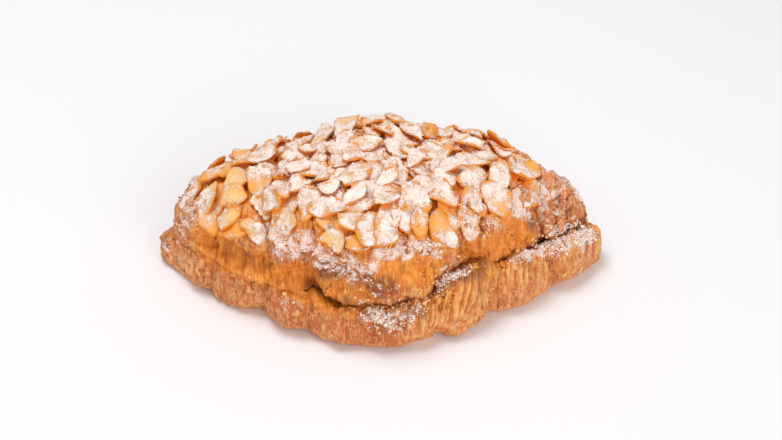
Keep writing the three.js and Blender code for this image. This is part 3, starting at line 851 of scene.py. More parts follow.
def crust_finish(name, colours):
    """Baked layered dough: golden to brown, syrupy in places, with pale layer edges and sugar, painted
    highlight on its crests and lips, and painted shade in its hollows, creases and seam.
    """
    f = Finish(name)
    bake, seam, syrup, pale = (f.painted(n) for n in ("bake", "seam", "syrup", "pale"))
    tooth, tint, edge, ridge, lined = (f.painted(n) for n in ("tooth", "tint", "edge", "ridge", "lined"))
    broad = f.grain(10 * MM, detail=3.0)
    middling = f.grain(3 * MM, detail=5.0, roughness=0.65)
    small = f.grain(0.8 * MM, detail=4.0, roughness=0.7)
    flecks = f.grain(1.2 * MM, detail=3.0, stretch=(1, 0.22, 0.22))
    fibres = f.grain(0.5 * MM, detail=2.0, stretch=(1, 0.15, 0.15))
    folds = f.grain(2.6 * MM, detail=2.0, stretch=(1, 0.25, 0.25))
    browned = f.rise(0.5 * broad + 0.5 * middling + 0.7 * small + 0.5 * bake + 0.12 * tint, 0.92, 1.22)
    soaked = f.rise(syrup + 0.5 * broad + 0.25 * middling, 0.55, 0.95)
    opened = f.rise(pale + 0.3 * middling, 0.3, 0.8)
    # How strong the painted highlight on fold crests and the painted shade in fold valleys are; the folds
    # noise also drives the bump
    fold_light_and_shade = 0.12 + 0.3 * soaked + 0.1 * opened
    # How strong the painted shade in hollows is: weaker on syrupy crust
    shade = 1 - 0.4 * soaked
    drawn = f.rise(lined * (0.4 + tint), 0.2, 1.4)
    # Pale layer lips: partly the dough's own pale edges, partly painted highlight where each layer's lip
    # stands up
    pale_lips_and_highlight = f.rise(tooth, 0.45, 0.9) * f.rise(middling, 0.36, 0.56) * f.rise(broad, 0.36, 0.56) * drawn
    # Painted shade in the crease where each layer starts, below the step from the layer before
    crease_shade = (1 - f.rise(tooth, 0.02, 0.3)) * f.rise(middling, 0.36, 0.6) * drawn
    # Tone of the pale layer edges, which also serves as the painted highlight
    pale_edge_and_highlight = f.blend(colours.layer, colours.torn, soaked)
    base = f.coated(
        colours.golden,
        (colours.brown, browned),
        (colours.syrup, soaked * (1 - 0.2 * browned)),
        (colours.torn, opened * 0.55),
        # Fold crests painted lighter and fold valleys painted with hollow shade: painted highlight and shade
        # that follow the bump
        (colours.torn, f.rise(folds, 0.5, 0.64) * fold_light_and_shade),
        (colours.hollow_shade, f.rise(0.5 - folds, 0.02, 0.14) * fold_light_and_shade),
        # Pale layer lips, and pale and dark streaks on noises that also drive the bump: partly the crust's
        # own streaks and edges, partly painted highlight on their crests and painted shade in their valleys
        (pale_edge_and_highlight, pale_lips_and_highlight * 0.5 + f.rise(flecks, 0.54, 0.66) * (0.3 + 0.4 * soaked)),
        (pale_edge_and_highlight, f.rise(fibres, 0.52, 0.66) * 0.5),
        (colours.hollow_shade, f.rise(0.5 - fibres, 0.02, 0.15) * shade * 0.45),
        # Painted shade in the layer creases
        (colours.brown, crease_shade * 0.45),
        # Laid-open layers: their pale edges are the dough's own, with painted highlight at the lips and
        # painted shade where each layer starts
        (colours.layer, f.rise(tooth, 0.55, 0.92) * opened * 0.6),
        (colours.hollow_shade, (1 - f.rise(tooth, 0.1, 0.5)) * opened * 0.6),
        # More painted shade in the bump's small valleys, and brown streaks that are partly the crust's own
        # and partly painted shade in their valleys
        (colours.hollow_shade, f.rise(0.5 - small, 0.03, 0.18) * shade * 0.28),
        (colours.brown, f.rise(0.5 - flecks, 0.02, 0.16) * (0.3 + 0.1 * soaked)),
        # Painted highlight on crests and painted shade in hollows, by how far each point stands out from its
        # neighbours
        (pale_edge_and_highlight, f.rise(ridge + 0.6 * small, 0.4, 1.2) * 0.35),
        (colours.hollow_shade, f.rise(0.4 * small - ridge, 0.3, 1.1) * shade * 0.5),
        (colours.dark, edge * f.rise(small, 0.45, 0.6) * 0.2),
        (colours.dark, f.rise(bake + 0.5 * middling + 0.3 * small, 1.05, 1.6) * 0.7),
        # Painted shade along the open seam under the top half's lip
        (colours.dark, f.rise(seam + 0.3 * middling, 0.4, 1.0) * 0.85),
    )
    base, sugar, powder = sugared(f, base, f.painted("dusting"), colours, 0.76)
    height = 0.8 * small + 0.6 * middling + 0.4 * flecks + 0.4 * fibres + 0.6 * folds + sugar * powder * 0.6
    return f.done(
        Base_Color=base,
        Roughness=0.38 - 0.12 * soaked + 0.4 * sugar + 0.15 * small,
        Coat_Weight=soaked * (0.15 - 0.15 * sugar),
        Coat_Roughness=0.22,
        Normal=f.bump(height, 0.75 * MM),
        Specular_IOR_Level=0.45,
    )


def cream_finish(colours):
    """Baked almond cream, pale and a little grainy."""
    f = Finish("almond_cream")
    broad = f.grain(4 * MM, detail=3.0)
    small = f.grain(0.7 * MM, detail=3.0, roughness=0.7)
    base = f.blend(colours.cream, colours.golden, f.rise(broad + 0.3 * small, 0.55, 0.9) * 0.7)
    return f.done(Base_Color=base, Roughness=0.5 + 0.2 * small, Normal=f.bump(small + broad, 0.4 * MM))


def almond_finish(colours):
    """Sliced almond: ivory flesh, toasted towards a brown rim, under icing sugar, with painted shade in
    syrup orange where other pieces shelter it from above.
    """
    f = Finish("almond_flakes")
    rim, toast, sheltered = (f.painted(n) for n in ("rim", "toast", "sheltered"))
    broad = f.grain(5 * MM, detail=3.0)
    small = f.grain(0.8 * MM, detail=3.0, roughness=0.65)
    base = f.coated(
        colours.almond,
        (colours.toasted, f.rise(0.75 * toast + 0.45 * rim + 0.6 * broad, 0.5, 1.3)),
        (colours.rim, f.rise(rim + 0.3 * broad + 0.2 * small + 0.15 * toast, 1.1, 1.35) * 0.9),
        (colours.toasted, f.rise(small, 0.42, 0.62) * 0.45),
        # Painted shade in syrup orange where other pieces shelter the almond from above, between and under
        # the flakes
        (colours.syrup, f.rise(sheltered + 0.4 * broad, 0.55, 1.1) * 0.7),
    )
    kept = 1 - f.rise(rim + 0.8 * small + 1.2 * broad, 1.84, 2.08)
    base, sugar, powder = sugared(f, base, f.painted("dusting") * kept, colours, 0.86)
    height = 0.8 * small + 0.5 * broad + sugar * powder * 1.2
    return f.done(
        Base_Color=base,
        Roughness=0.42 + 0.2 * small + 0.3 * sugar,
        Normal=f.bump(height, 0.6 * MM),
        Specular_IOR_Level=0.4,
    )


def sugar_finish(colours):
    """Clumps of icing sugar."""
    f = Finish("icing_sugar")
    base = f.blend(colours.sugar, colours.almond, f.rise(f.grain(3 * MM), 0.55, 0.85) * 0.25)
    return f.done(Base_Color=base, Roughness=0.8 + 0.15 * f.grain(0.4 * MM))


def crumb_finish(colours):
    """Broken crust and almond."""
    f = Finish("crumbs")
    kind = f.painted("toast")
    base = f.coated(
        colours.almond,
        (colours.layer, f.rise(kind, 0.2, 0.5)),
        (colours.brown, f.rise(kind + 0.4 * f.grain(1.5 * MM), 0.7, 0.95)),
    )
    base, sugar, _ = sugared(f, base, f.painted("dusting"), colours)
    return f.done(Base_Color=base, Roughness=0.6 + 0.2 * sugar)


def flake_rows(form):
    """Lays the flakes one after another, each settling on the crust and the flakes below it."""
    sizes = form.sizes
    columns = math.ceil(sizes.length / FIELD_CELL - 1e-6)
    rows = math.ceil(sizes.width / FIELD_CELL - 1e-6)
    xs = (np.arange(columns) + 0.5 - columns / 2) * FIELD_CELL
    ys = (np.arange(rows) + 0.5 - rows / 2) * FIELD_CELL
    plan_x, plan_y = np.meshgrid(xs, ys)
    crust = form.crust_height(plan_x, plan_y)
    heights = crust.copy()
    laid = []
    for index in range(1, FLAKE_TRIES):
        x = mix(FIELD_LEFT, FIELD_RIGHT, (index * FLAKE_SPREAD[0]) % 1)
        off_axis = FIELD_WIDTH * ((index * FLAKE_SPREAD[1]) % 1 - 0.5)
        along = (2 * x - FIELD_LEFT - FIELD_RIGHT) / (FIELD_RIGHT - FIELD_LEFT)
        across = off_axis / (FIELD_WIDTH / 2)
        late = len(laid) >= sizes.flakes
        if abs(along) ** FIELD_POWER + abs(across) ** FIELD_POWER > (LATE_FIELD if late else 1):
            continue
        y = off_axis + form.top_axis(x)
        length = mix(sizes.flake_short, sizes.flake_long, chance(index, 1))
        length *= mix(*LATE_LENGTHS, chance(index, 20) ** LATE_LENGTH_POWER) if late else FIRST_LENGTH
        width = length * (mix(*FLAKE_SLIMNESS, chance(index, 2)) + FLAKE_WIDER)
        spin = 2 * math.pi * chance(index, 3)
        p = (plan_x - x) * math.cos(spin) + (plan_y - y) * math.sin(spin)
        q = (plan_y - y) * math.cos(spin) - (plan_x - x) * math.sin(spin)
        under = ((2 * p / length) ** 2 + (2 * q / width) ** 2 < 1) & (heights > 0)
        p, q, height = p[under], q[under], heights[under]
        mean = height.mean()
        if late and mean - crust[under].mean() > PILE_LIMIT * mix(*PILE_UNEVENNESS, chance(index, 21)):
            continue
        tilt = FLAKE_TILT * (LATE_TILT if late else FIRST_TILT)
        tilt = tilt * (1 - CREST_CALM * smoothstep(*FLAKE_CREST, mean))
        slope_p = (p * (height - mean)).sum() / (p * p).sum() + tilt * (2 * chance(index, 4) - 1)
        slope_q = (q * (height - mean)).sum() / (q * q).sum() + tilt * (2 * chance(index, 5) - 1)
        plane = mean + slope_p * p + slope_q * q
        lift = FLAKE_SETTLE * (height - plane).max()
        sink = 2 * FLAKE_SINK if late else FLAKE_SINK
        heights[under] = np.maximum(height, plane + lift + sizes.flake_thickness)
        laid.append((index, x, y, mean + lift - sink, length, width, spin, slope_p, slope_q))
        if len(laid) == sizes.flakes + sizes.top_flakes:
            break
    bare = [BARE_FRONT_FROM < row[1] < BARE_FRONT_TO and row[2] < BARE_FRONT_BELOW for row in laid]
    return [row for row, left_out in zip(laid, bare) if not left_out]


def flake_waves(angle, rows, draw):
    """Sum of the waves round a flake that the rows list."""
    return sum(height * np.sin(turns * angle + FULL_PHASE * draw[k]) for height, turns, k in rows)


def flake_points(row, thickness):
    """Points of one curled flake, their rim shares and its toasting."""
    index, x, y, z, length, width, spin, slope_p, slope_q = row
    draw = [chance(index, k) for k in range(6, 20)]
    angle = np.linspace(0, 2 * np.pi, FLAKE_OUTLINE, endpoint=False)
    uneven = 1 + flake_waves(angle, FLAKE_UNEVENNESS, draw)
    p = length / 2 * np.cos(angle) * uneven
    q = width / 2 * np.sin(angle) * (1 - FLAKE_POINT * np.cos(angle)) * uneven
    jag = FLAKE_JAG * np.sin(2.2 * q / MM + FULL_PHASE * draw[3])
    if draw[4] < BROKEN_BELOW:
        p = np.minimum(p, length / 2 * mix(0.0, 0.7, draw[5]) + mix(-0.5, 0.5, draw[6]) * q + jag)
    if draw[4] > CHIPPED_ABOVE:
        q = np.maximum(q, -width / 2 * mix(0.2, 0.8, draw[5]) + mix(-0.3, 0.3, draw[6]) * p + jag)
    centre = np.array([p.mean(), q.mean()])
    p, q = p - centre[0], q - centre[1]
    rings = [np.stack([p * r, q * r, np.full_like(p, h)], -1) for r, h in FLAKE_RINGS]
    local = np.concatenate([[(0, 0, 1.0)], *rings, [(0, 0, 0.0)]])
    rims = [np.full(FLAKE_OUTLINE, r if h > 0.3 else 0.95) for r, h in FLAKE_RINGS]
    rim = np.concatenate([[0], *rims, [0.8]])
    wavy = flake_waves(angle, FLAKE_RIPPLES, draw)
    ripple = MM * np.concatenate([[0], *[wavy * r * r for r, _ in FLAKE_RINGS], [0]])
    curl_p, curl_q, twist = mix(-14, 22, draw[7]), mix(-25, 75, draw[8]), mix(-45, 45, chance(index, 22))
    p, q, high = local.T
    upper = high > 0.9
    curled = curl_p * p**2 + curl_q * q**2 + twist * p * q + ripple
    local[:, 2] = high * thickness * mix(0.5, 0.8, draw[10]) + curled
    local[:, :2] += centre
    along = np.array([math.cos(spin), math.sin(spin), slope_p])
    along /= np.linalg.norm(along)
    normal = np.cross(along, [-math.sin(spin), math.cos(spin), slope_q])
    normal /= np.linalg.norm(normal)
    points = local @ np.stack([along, np.cross(normal, along), normal]) + [x, y, z]
    caked = CAKED_HEIGHT * upper * (0.4 + layered_noise(points, CAKED_CELL, CAKED_SEED, 2))
    return points + caked[:, None] * normal, rim, np.full(len(rim), draw[11])


def flake_faces():
    """Faces of one flake: a fan above, bands round the rim and a fan below."""
    n, bands = FLAKE_OUTLINE, len(FLAKE_RINGS)
    turn = [(i, (i + 1) % n) for i in range(n)]
    faces = [(0, 1 + i, 1 + j) for i, j in turn]
    for band in range(bands - 1):
        a, b = 1 + band * n, 1 + (band + 1) * n
        faces += [(a + i, b + i, b + j, a + j) for i, j in turn]
    base, last = 1 + (bands - 1) * n, 1 + bands * n
    return faces + [(last, base + j, base + i) for i, j in turn]


def shifted(faces, count, step):
    """The same faces for each of many like pieces in one mesh."""
    return [tuple(v + k * step for v in face) for k in range(count) for face in faces]


def lump_shape():
    """Points and faces of a small lump."""
    ball = bmesh.new()
    bmesh.ops.create_icosphere(ball, subdivisions=1, radius=1)
    points = np.array([v.co[:] for v in ball.verts])
    faces = [tuple(v.index for v in f.verts) for f in ball.faces]
    ball.free()
    return points, faces


def dressed():
    """The croissant's pieces made so far."""
    return [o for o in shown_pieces() if "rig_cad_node" not in o]


def point_arrays(o):
    """Places and outward directions of a piece's points."""
    places, normals = np.empty((2, len(o.data.vertices) * 3))
    o.data.vertices.foreach_get("co", places)
    o.data.vertex_normals.foreach_get("vector", normals)
    return places.reshape(-1, 3), normals.reshape(-1, 3)


def joined_arrays(pieces):
    """The same for several pieces, one after another."""
    return [np.concatenate(parts) for parts in zip(*map(point_arrays, pieces))]


def surface_tree(pieces):
    """A tree of the pieces' faces, for finding what is near a point or above it."""
    faces, start = [], 0
    for o in pieces:
        faces += [tuple(v + start for v in f.vertices) for f in o.data.polygons]
        start += len(o.data.vertices)
    return BVHTree.FromPolygons(joined_arrays(pieces)[0].tolist(), faces)


def draw_sites(rng, weights, count):
    """Numbers of random points, more often those with more weight."""
    return rng.choice(len(weights), count, p=weights / weights.sum())


class CROISSANT_OT_bottom_half(bpy.types.Operator):
    """Make the bottom half: a flat sole, a fat roll of wraps and a dished cut face"""

    bl_idname = "croissant.bottom_half"
    bl_label = "Bottom half"

    def execute(self, context):
        form = Form(context.scene.croissant_sizes)
        colours = context.scene.croissant_colours
        rings = Rings(form.sizes, BOTTOM_RINGS_SEED)
        grid, shown = bottom_grid(form, rings)
        made, grid, browned = crust_piece("bottom_crust", form, rings, grid, shown, BOTTOM_SEED, colours)
        tips = 0.03 * smoothstep(0.75, 1.0, np.abs(rings.s))
        lip = 0.25 * smoothstep(0.7, 1.0, grid[..., 2] / form.sizes.cut_height)
        paint(made, bake=0.14 + tips + lip + browned)
        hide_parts("bottom_half")
        return {"FINISHED"}


class CROISSANT_OT_almond_cream(bpy.types.Operator):
    """Make the almond cream between the halves, squeezed out of the seam in places"""

    bl_idname = "croissant.almond_cream"
    bl_label = "Almond cream"

    SQUEEZES = ((46 * MM, 5 * MM, 6 * MM), (-46 * MM, 7 * MM, 5 * MM))
    FROM, TO, SECTIONS, RIM_POINTS = -66 * MM, 68 * MM, 150, 12
    RAGGED, RAGGED_CELL = 1.2 * MM, 5 * MM

    def execute(self, context):
        form = Form(context.scene.croissant_sizes)
        sizes = form.sizes
        x = np.linspace(self.FROM, self.TO, self.SECTIONS)[:, None]
        height, inside, depth = form.dish(x)
        _, cut, _, half, _, tuck = form.top_section((x - sizes.top_shift) / (sizes.top_length / 2))
        floor, ceiling = height + sizes.cream_gap, cut - sizes.cream_gap
        spots = np.concatenate([x, 0 * x], 1)
        ragged = self.RAGGED * noise(spots, self.RAGGED_CELL, CREAM_SEED)[:, None]
        half = half - tuck - sizes.cream_inset
        squeezed = sum(out * swelling(x, at, spread) for at, spread, out in self.SQUEEZES)
        back = form.top_axis(x) + half + ragged
        front = form.top_axis(x) - half + form.hollow(x) - squeezed + ragged
        turn = np.linspace(-np.pi / 2, np.pi / 2, self.RIM_POINTS)[None, :]
        thick, middle = (ceiling - floor) / 2, (ceiling + floor) / 2
        rim_y, rim_z = thick * np.cos(turn) - thick, middle + thick * np.sin(turn)
        share = between(0, 1, self.RIM_POINTS)
        under_y = mix(front, back, share)
        hollow = np.minimum(1, np.abs(under_y - form.axis(x)) / inside)
        under_z = floor - depth * (1 - hollow**2)
        over_y = mix(back, front, share)
        y = np.concatenate([back + rim_y, over_y, front - rim_y[:, ::-1], under_y], 1)
        z = np.concatenate([rim_z, np.broadcast_to(ceiling, over_y.shape), rim_z[:, ::-1], under_z], 1)
        grid = np.stack([np.broadcast_to(x, y.shape), y, z], -1)
        faces = tube_faces(*grid.shape[:2])
        made = piece("almond_cream_filling", grid, faces, cream_finish(context.scene.croissant_colours))
        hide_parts("almond_cream")
        return {"FINISHED"}


class CROISSANT_OT_top_half(bpy.types.Operator):
    """Make the top half's crust: a domed spindle of wraps with a tucked lip"""

    bl_idname = "croissant.top_half"
    bl_label = "Top half"

    SYRUPY_CREST = 30 * MM, 38 * MM

    def execute(self, context):
        form = Form(context.scene.croissant_sizes)
        colours = context.scene.croissant_colours
        rings = Rings(form.sizes, TOP_RINGS_SEED)
        grid, near_cut = top_grid(form, rings)
        shown = 1 - 0.4 * smoothstep(0.6, 1, near_cut)
        made, grid, browned = crust_piece("top_crust", form, rings, grid, shown, TOP_SEED, colours)
        ends = 0.1 * smoothstep(0.8, 1.0, np.abs(rings.s))
        # The grooves between the small end wraps are painted darker: painted shade in the grooves
        grooves = 0.9 * form.end_grooves(grid[..., 0]) / GROOVE_DEPTH
        # Painted shade along the open seam under the lip, less where the lip sags shut
        seam = near_cut * (1 - 0.9 * seam_closed(grid[..., 0]))
        syrup = banded(grid, SYRUP_BANDS) + 0.8 * smoothstep(*self.SYRUPY_CREST, grid[..., 2])
        paint(made, bake=0.16 + ends + grooves + browned, seam=seam, syrup=syrup)
        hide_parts("top_half")
        return {"FINISHED"}


class CROISSANT_OT_almond_flakes(bpy.types.Operator):
    """Make the flaked almonds that cover the top half"""

    bl_idname = "croissant.almond_flakes"
    bl_label = "Almond flakes"

    def execute(self, context):
        form = Form(context.scene.croissant_sizes)
        rows = flake_rows(form)
        parts = [flake_points(row, form.sizes.flake_thickness) for row in rows]
        points, rims, toasts = (np.concatenate(p) for p in zip(*parts))
        faces = shifted(flake_faces(), len(rows), len(parts[0][0]))
        made = piece("almond_flakes", points, faces, almond_finish(context.scene.croissant_colours))
        paint(made, rim=rims, toast=toasts)
        return {"FINISHED"}


class CROISSANT_OT_torn_layers(bpy.types.Operator):
    """Lay thin torn sheets of pastry on the crust, each lifted along one edge"""

    bl_idname = "croissant.torn_layers"
    bl_label = "Torn layers"

    LONG, WIDE = 9, 4
    LENGTHS, WIDTHS, LIFTS = (1.2, 4.5), (0.8, 2.8), (0.15, 0.9)
    THICKNESS, SINK = 0.22 * MM, 0.25 * MM
    PATCH_CELL = 8 * MM

    def faces(self):
        """Faces of one sheet: its upper and lower side, and its rim."""
        upper = np.arange(self.LONG * self.WIDE).reshape(self.WIDE, self.LONG)
        lower = upper + upper.size
        quads = []
        for i in range(self.WIDE - 1):
            for j in range(self.LONG - 1):
                corners = (i, j), (i, j + 1), (i + 1, j + 1), (i + 1, j)
                quads += [[upper[c] for c in corners], [lower[c] for c in corners[::-1]]]
        turn = [(0, j) for j in range(self.LONG)] + [(i, self.LONG - 1) for i in range(1, self.WIDE)]
        turn += [(self.WIDE - 1, j) for j in range(self.LONG - 2, -1, -1)]
        turn += [(i, 0) for i in range(self.WIDE - 2, 0, -1)]
        for a, b in zip(turn, turn[1:] + turn[:1]):
            quads.append([upper[b], upper[a], lower[a], lower[b]])
        return quads

    def execute(self, context):
        rng = np.random.default_rng(SHEETS_SEED)
        count = context.scene.croissant_sizes.sheets
        crusts = [o for o in dressed() if o.name.endswith("crust")]
        tree = surface_tree(crusts)
        places, normals = joined_arrays(crusts)
        weights = smoothstep(-0.5, 0.0, normals[:, 2]) * smoothstep(2 * MM, 5 * MM, places[:, 2])
        weights *= 0.15 + smoothstep(-0.1, 0.5, noise(places, self.PATCH_CELL, SHEET_PATCH_SEED))
        weights *= 1 - 0.7 * np.clip(banded(places, BROWN_BANDS), 0, 1)
        picked = draw_sites(rng, weights, count)
        site, up = places[picked][:, None, None], normals[picked]
        along = np.cross(up, (1, 0, 0))
        along /= np.linalg.norm(along, axis=-1, keepdims=True)
        across = np.cross(along, up) * np.sign(places[picked][:, :1])
        along, across = along[:, None, None], across[:, None, None]
        a = np.linspace(-1, 1, self.LONG)[None, None, :]
        b = np.linspace(0, 1, self.WIDE)[None, :, None]
        long = mix(*self.LENGTHS, rng.random((count, 1, 1)) ** 1.6) * MM
        wide = mix(*self.WIDTHS, rng.random((count, 1, 1)) ** 1.5) * MM
        jagged = 1 + 0.35 * rng.uniform(-1, 1, (count, 1, self.LONG))
        slant = rng.uniform(-0.5, 0.5, (count, 1, 1))
        flat = site + along * (a * long * (1 - 0.35 * b * b) + slant * b * wide)[..., None]
        flat = flat + across * (b * wide * jagged * (1 - 0.3 * a * a))[..., None]
        lift = mix(*self.LIFTS, rng.random((count, 1, 1)) ** 2) * MM
        height = (lift + self.SINK) * b**1.4 * (1 - 0.4 * a * a) - self.SINK
        grown = np.empty((2, *flat.shape))
        for k in np.ndindex(flat.shape[:-1]):
            near, normal, _, _ = tree.find_nearest(Vector(flat[k]))
            grown[0][k] = near + normal * (height[k] + self.THICKNESS)
            grown[1][k] = near + normal * height[k]
        points = np.moveaxis(grown, 0, 1)
        finish = crust_finish("torn_layers", context.scene.croissant_colours)
        each = 2 * self.LONG * self.WIDE
        made = piece("torn_layers", points, shifted(self.faces(), count, each), finish)
        paint(made, tooth=np.broadcast_to(0.3 + 0.7 * b, points.shape[:-1]))
        points = points.reshape(-1, 3)
        paint(made, tint=np.repeat(rng.random(count), each))
        paint(made, bake=0.1 + np.repeat(rng.uniform(0, 0.4, count), each) + banded(points, BROWN_BANDS))
        paint(made, syrup=banded(points, SYRUP_BANDS))
        paint(made, pale=np.repeat(rng.uniform(0, 0.4, count), each))
        return {"FINISHED"}


class CROISSANT_OT_crumbs(bpy.types.Operator):
    """Scatter crumbs of crust and almond over the ledge and the almonds"""

    bl_idname = "croissant.crumbs"
    bl_label = "Crumbs"

    SHARES = {"bottom_crust": 1.0, "top_crust": 1.0, "almond_flakes": 0.25}
    STRAY_SHARE = 0.003
    RADII = 0.25, 0.75

    def execute(self, context):
        rng = np.random.default_rng(CRUMBS_SEED)
        count = context.scene.croissant_sizes.crumbs
        under = [o for o in dressed() if o.name in self.SHARES]
        places, normals = joined_arrays(under)
        heaps = np.clip(banded(places, SUGAR_BANDS) - 0.5 * banded(places, BARE_BANDS), 0, 1.2)
        shares = np.concatenate([np.full(len(o.data.vertices), self.SHARES[o.name]) for o in under])
        weights = (self.STRAY_SHARE + heaps**1.5) * shares * smoothstep(-0.1, 0.5, normals[:, 2])
        picked = draw_sites(rng, weights, count)
        shape, faces = lump_shape()
        radius = mix(*self.RADII, rng.random((count, 1, 1)) ** 2) * MM
        lumps = shape[None] * rng.uniform(0.5, 1.2, (count, 1, 3)) * radius
        lumps *= rng.uniform(0.55, 1.35, (count, len(shape), 1))
        points = (lumps + (places[picked] + normals[picked] * radius[:, 0] * 0.3)[:, None]).reshape(-1, 3)
        finish = crumb_finish(context.scene.croissant_colours)
        made = piece("crumbs", points, shifted(faces, count, len(shape)), finish)
        made.data.shade_flat()
        paint(made, toast=np.repeat(rng.random(count), len(shape)))
        return {"FINISHED"}


class CROISSANT_OT_icing_sugar(bpy.types.Operator):
    """Dust every piece with icing sugar from above, and scatter its clumps"""

    bl_idname = "croissant.icing_sugar"
    bl_label = "Icing sugar"

    FALLS = tuple(map(Vector, ((0, 0, 1), (0.35, -0.3, 0.9), (-0.4, -0.15, 0.9), (0.1, 0.45, 0.9))))
    CLEAR, REACH = 0.12 * MM, 0.1
    OTHER_BASE, PATCHINESS, PATCH_CELL = 0.5, 0.45, 9 * MM
    CREST, CREST_SUGAR = (42 * MM, 52 * MM), 0.42
    RADII, SCATTER = (0.13, 0.36), 0.35 * MM
    CORNERS = ((1, 0, 0), (-1, 0, 0), (0, 1, 0), (0, -1, 0), (0, 0, 1), (0, 0, -1))
    FACES = ((0, 2, 4), (2, 1, 4), (1, 3, 4), (3, 0, 4), (2, 0, 5), (1, 2, 5), (3, 1, 5), (0, 3, 5))

    def dusting(self, o, tree):
        """How much sugar falls on each point of a piece."""
        places, normals = point_arrays(o)
        open_sky = np.zeros(len(places))
        for k in np.flatnonzero(normals[:, 2] > -0.05):
            start = Vector(places[k] + normals[k] * self.CLEAR)
            open_sky[k] = sum(tree.ray_cast(start, fall, self.REACH)[0] is None for fall in self.FALLS)
        open_sky /= len(self.FALLS)
        facing = smoothstep(-0.05, 0.6, normals[:, 2])
        patches = self.PATCHINESS * layered_noise(places, self.PATCH_CELL, DUST_SEED, 3)
        patches = SUGAR_BASE.get(o.name, self.OTHER_BASE) + patches
        heaped = banded(places, SUGAR_BANDS) * (0.4 + 0.6 * facing)
        fallen = open_sky * (facing * patches + heaped) - banded(places, BARE_BANDS)
        # How much of the sky other pieces hide; the almonds' finish turns it into painted shade
        paint(o, sheltered=1 - open_sky)
        if o.name == "almond_flakes":
            toast = np.empty(len(places))
            o.data.attributes["toast"].data.foreach_get("value", toast)
            crest = self.CREST_SUGAR * smoothstep(*self.CREST, places[:, 2]) * facing
            fallen = fallen * mix(1.1, 0.8, toast) + crest
        return np.clip(fallen, 0, 1)

    def execute(self, context):
        rng = np.random.default_rng(GRAINS_SEED)
        pieces = dressed()
        tree = surface_tree(pieces)
        weights = []
        for o in pieces:
            dust = self.dusting(o, tree)
            paint(o, dusting=dust)
            areas = np.zeros(len(dust))
            for face in o.data.polygons:
                areas[list(face.vertices)] += face.area / len(face.vertices)
            weights.append(areas * dust**2.5)
        sites, directions = joined_arrays(pieces)
        count = context.scene.croissant_sizes.grains
        picked = draw_sites(rng, np.concatenate(weights), count)
        radius = mix(*self.RADII, rng.random(count) ** 2.2)[:, None, None] * MM
        lumps = np.array(self.CORNERS) * rng.uniform(0.6, 1.3, (count, len(self.CORNERS), 1)) * radius
        jitter = rng.normal(0, self.SCATTER, (count, 3)) * [1, 1, 0]
        centres = sites[picked] + jitter + directions[picked] * radius[:, 0] * 0.4
        points = (lumps + centres[:, None]).reshape(-1, 3)
        faces = shifted(self.FACES, count, len(self.CORNERS))
        made = piece("sugar_clumps", points, faces, sugar_finish(context.scene.croissant_colours))
        return {"FINISHED"}


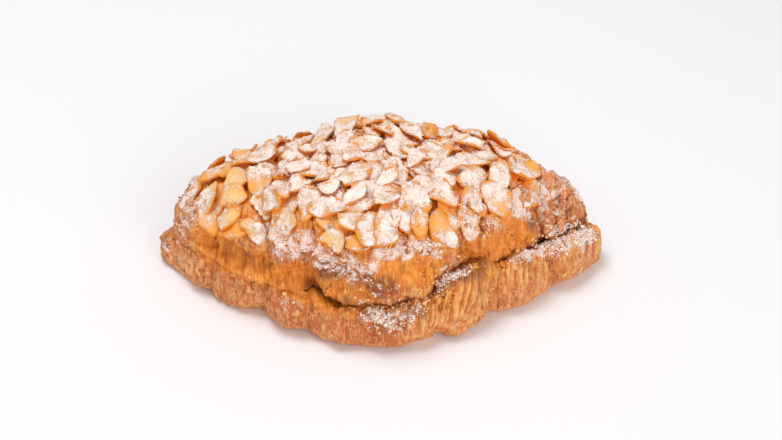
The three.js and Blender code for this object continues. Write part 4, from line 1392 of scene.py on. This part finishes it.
class CROISSANT_OT_stage(bpy.types.Operator):
    """Set the floor, the soft lights, the camera and the view"""

    bl_idname = "croissant.stage"
    bl_label = "Stage"

    TARGET = Vector((4, 0, 23.5)) * MM
    DISTANCE, ELEVATION, LENS = 0.72, math.radians(36), 85.5
    FLOOR_SIZE = 6.0
    SKY = 0.52
    LIGHTS = (("key_softbox", (-0.2, 0.1, 0.95), 0.55, 5.2), ("front_softbox", (0.46, -0.9, 0.45), 1.0, 5.6))

    def aimed(self, name, data, place):
        """A light or camera that looks at the croissant."""
        made = bpy.data.objects.new(name, data)
        made.location = place
        made.rotation_mode = "QUATERNION"
        made.rotation_quaternion = (self.TARGET - Vector(place)).to_track_quat("-Z", "Y")
        bpy.context.scene.collection.objects.link(made)
        return made

    def execute(self, context):
        scene = context.scene
        colours = scene.croissant_colours
        half = self.FLOOR_SIZE / 2
        mesh = bpy.data.meshes.new("floor")
        corners = [(-half, -half, 0), (half, -half, 0), (half, half, 0), (-half, half, 0)]
        mesh.from_pydata(corners, [], [(0, 1, 2, 3)])
        finish = Finish("floor")
        mesh.materials.append(finish.done(Base_Color=tuple(colours.floor), Roughness=0.9))
        floor = bpy.data.objects.new("floor", mesh)
        scene.collection.objects.link(floor)
        floor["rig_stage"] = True
        world = bpy.data.worlds.new("studio")
        world.use_nodes = True
        world.node_tree.nodes["Background"].inputs["Color"].default_value = (1, 1, 1, 1)
        world.node_tree.nodes["Background"].inputs["Strength"].default_value = self.SKY
        scene.world = world
        for name, place, width, power in self.LIGHTS:
            lamp = bpy.data.lights.new(name, "AREA")
            lamp.shape, lamp.size, lamp.energy = "DISK", width, power
            self.aimed(name, lamp, place)
        ahead = Vector((0, math.cos(self.ELEVATION), -math.sin(self.ELEVATION)))
        optics = bpy.data.cameras.new("camera")
        optics.lens = self.LENS
        scene.camera = self.aimed("camera", optics, self.TARGET - ahead * self.DISTANCE)
        scene.view_settings.view_transform = "Standard"
        return {"FINISHED"}


class CROISSANT_PT_panel(bpy.types.Panel):
    """Lists the croissant's pieces, sizes and colours"""

    bl_label = "Almond croissant"
    bl_idname = "CROISSANT_PT_panel"
    bl_space_type = "VIEW_3D"
    bl_region_type = "UI"
    bl_category = "Croissant"

    def draw(self, context):
        for operator in OPERATORS:
            self.layout.operator(operator.bl_idname)
        for group in (context.scene.croissant_sizes, context.scene.croissant_colours):
            box = self.layout.box()
            for name in group.__annotations__:
                box.prop(group, name)


OPERATORS = (
    CROISSANT_OT_bottom_half,
    CROISSANT_OT_almond_cream,
    CROISSANT_OT_top_half,
    CROISSANT_OT_torn_layers,
    CROISSANT_OT_almond_flakes,
    CROISSANT_OT_crumbs,
    CROISSANT_OT_icing_sugar,
    CROISSANT_OT_stage,
)
CLASSES = (CroissantSizes, CroissantColours, *OPERATORS, CROISSANT_PT_panel)


def register():
    for cls in CLASSES:
        bpy.utils.register_class(cls)
    bpy.types.Scene.croissant_sizes = PointerProperty(type=CroissantSizes)
    bpy.types.Scene.croissant_colours = PointerProperty(type=CroissantColours)


def unregister():
    del bpy.types.Scene.croissant_sizes
    del bpy.types.Scene.croissant_colours
    for cls in reversed(CLASSES):
        bpy.utils.unregister_class(cls)


def main():
    register()
    bpy.ops.croissant.bottom_half()
    bpy.ops.croissant.almond_cream()
    bpy.ops.croissant.top_half()
    bpy.ops.croissant.torn_layers()
    bpy.ops.croissant.almond_flakes()
    bpy.ops.croissant.crumbs()
    bpy.ops.croissant.icing_sugar()
    bpy.ops.croissant.stage()


if __name__ == "__main__":
    main()
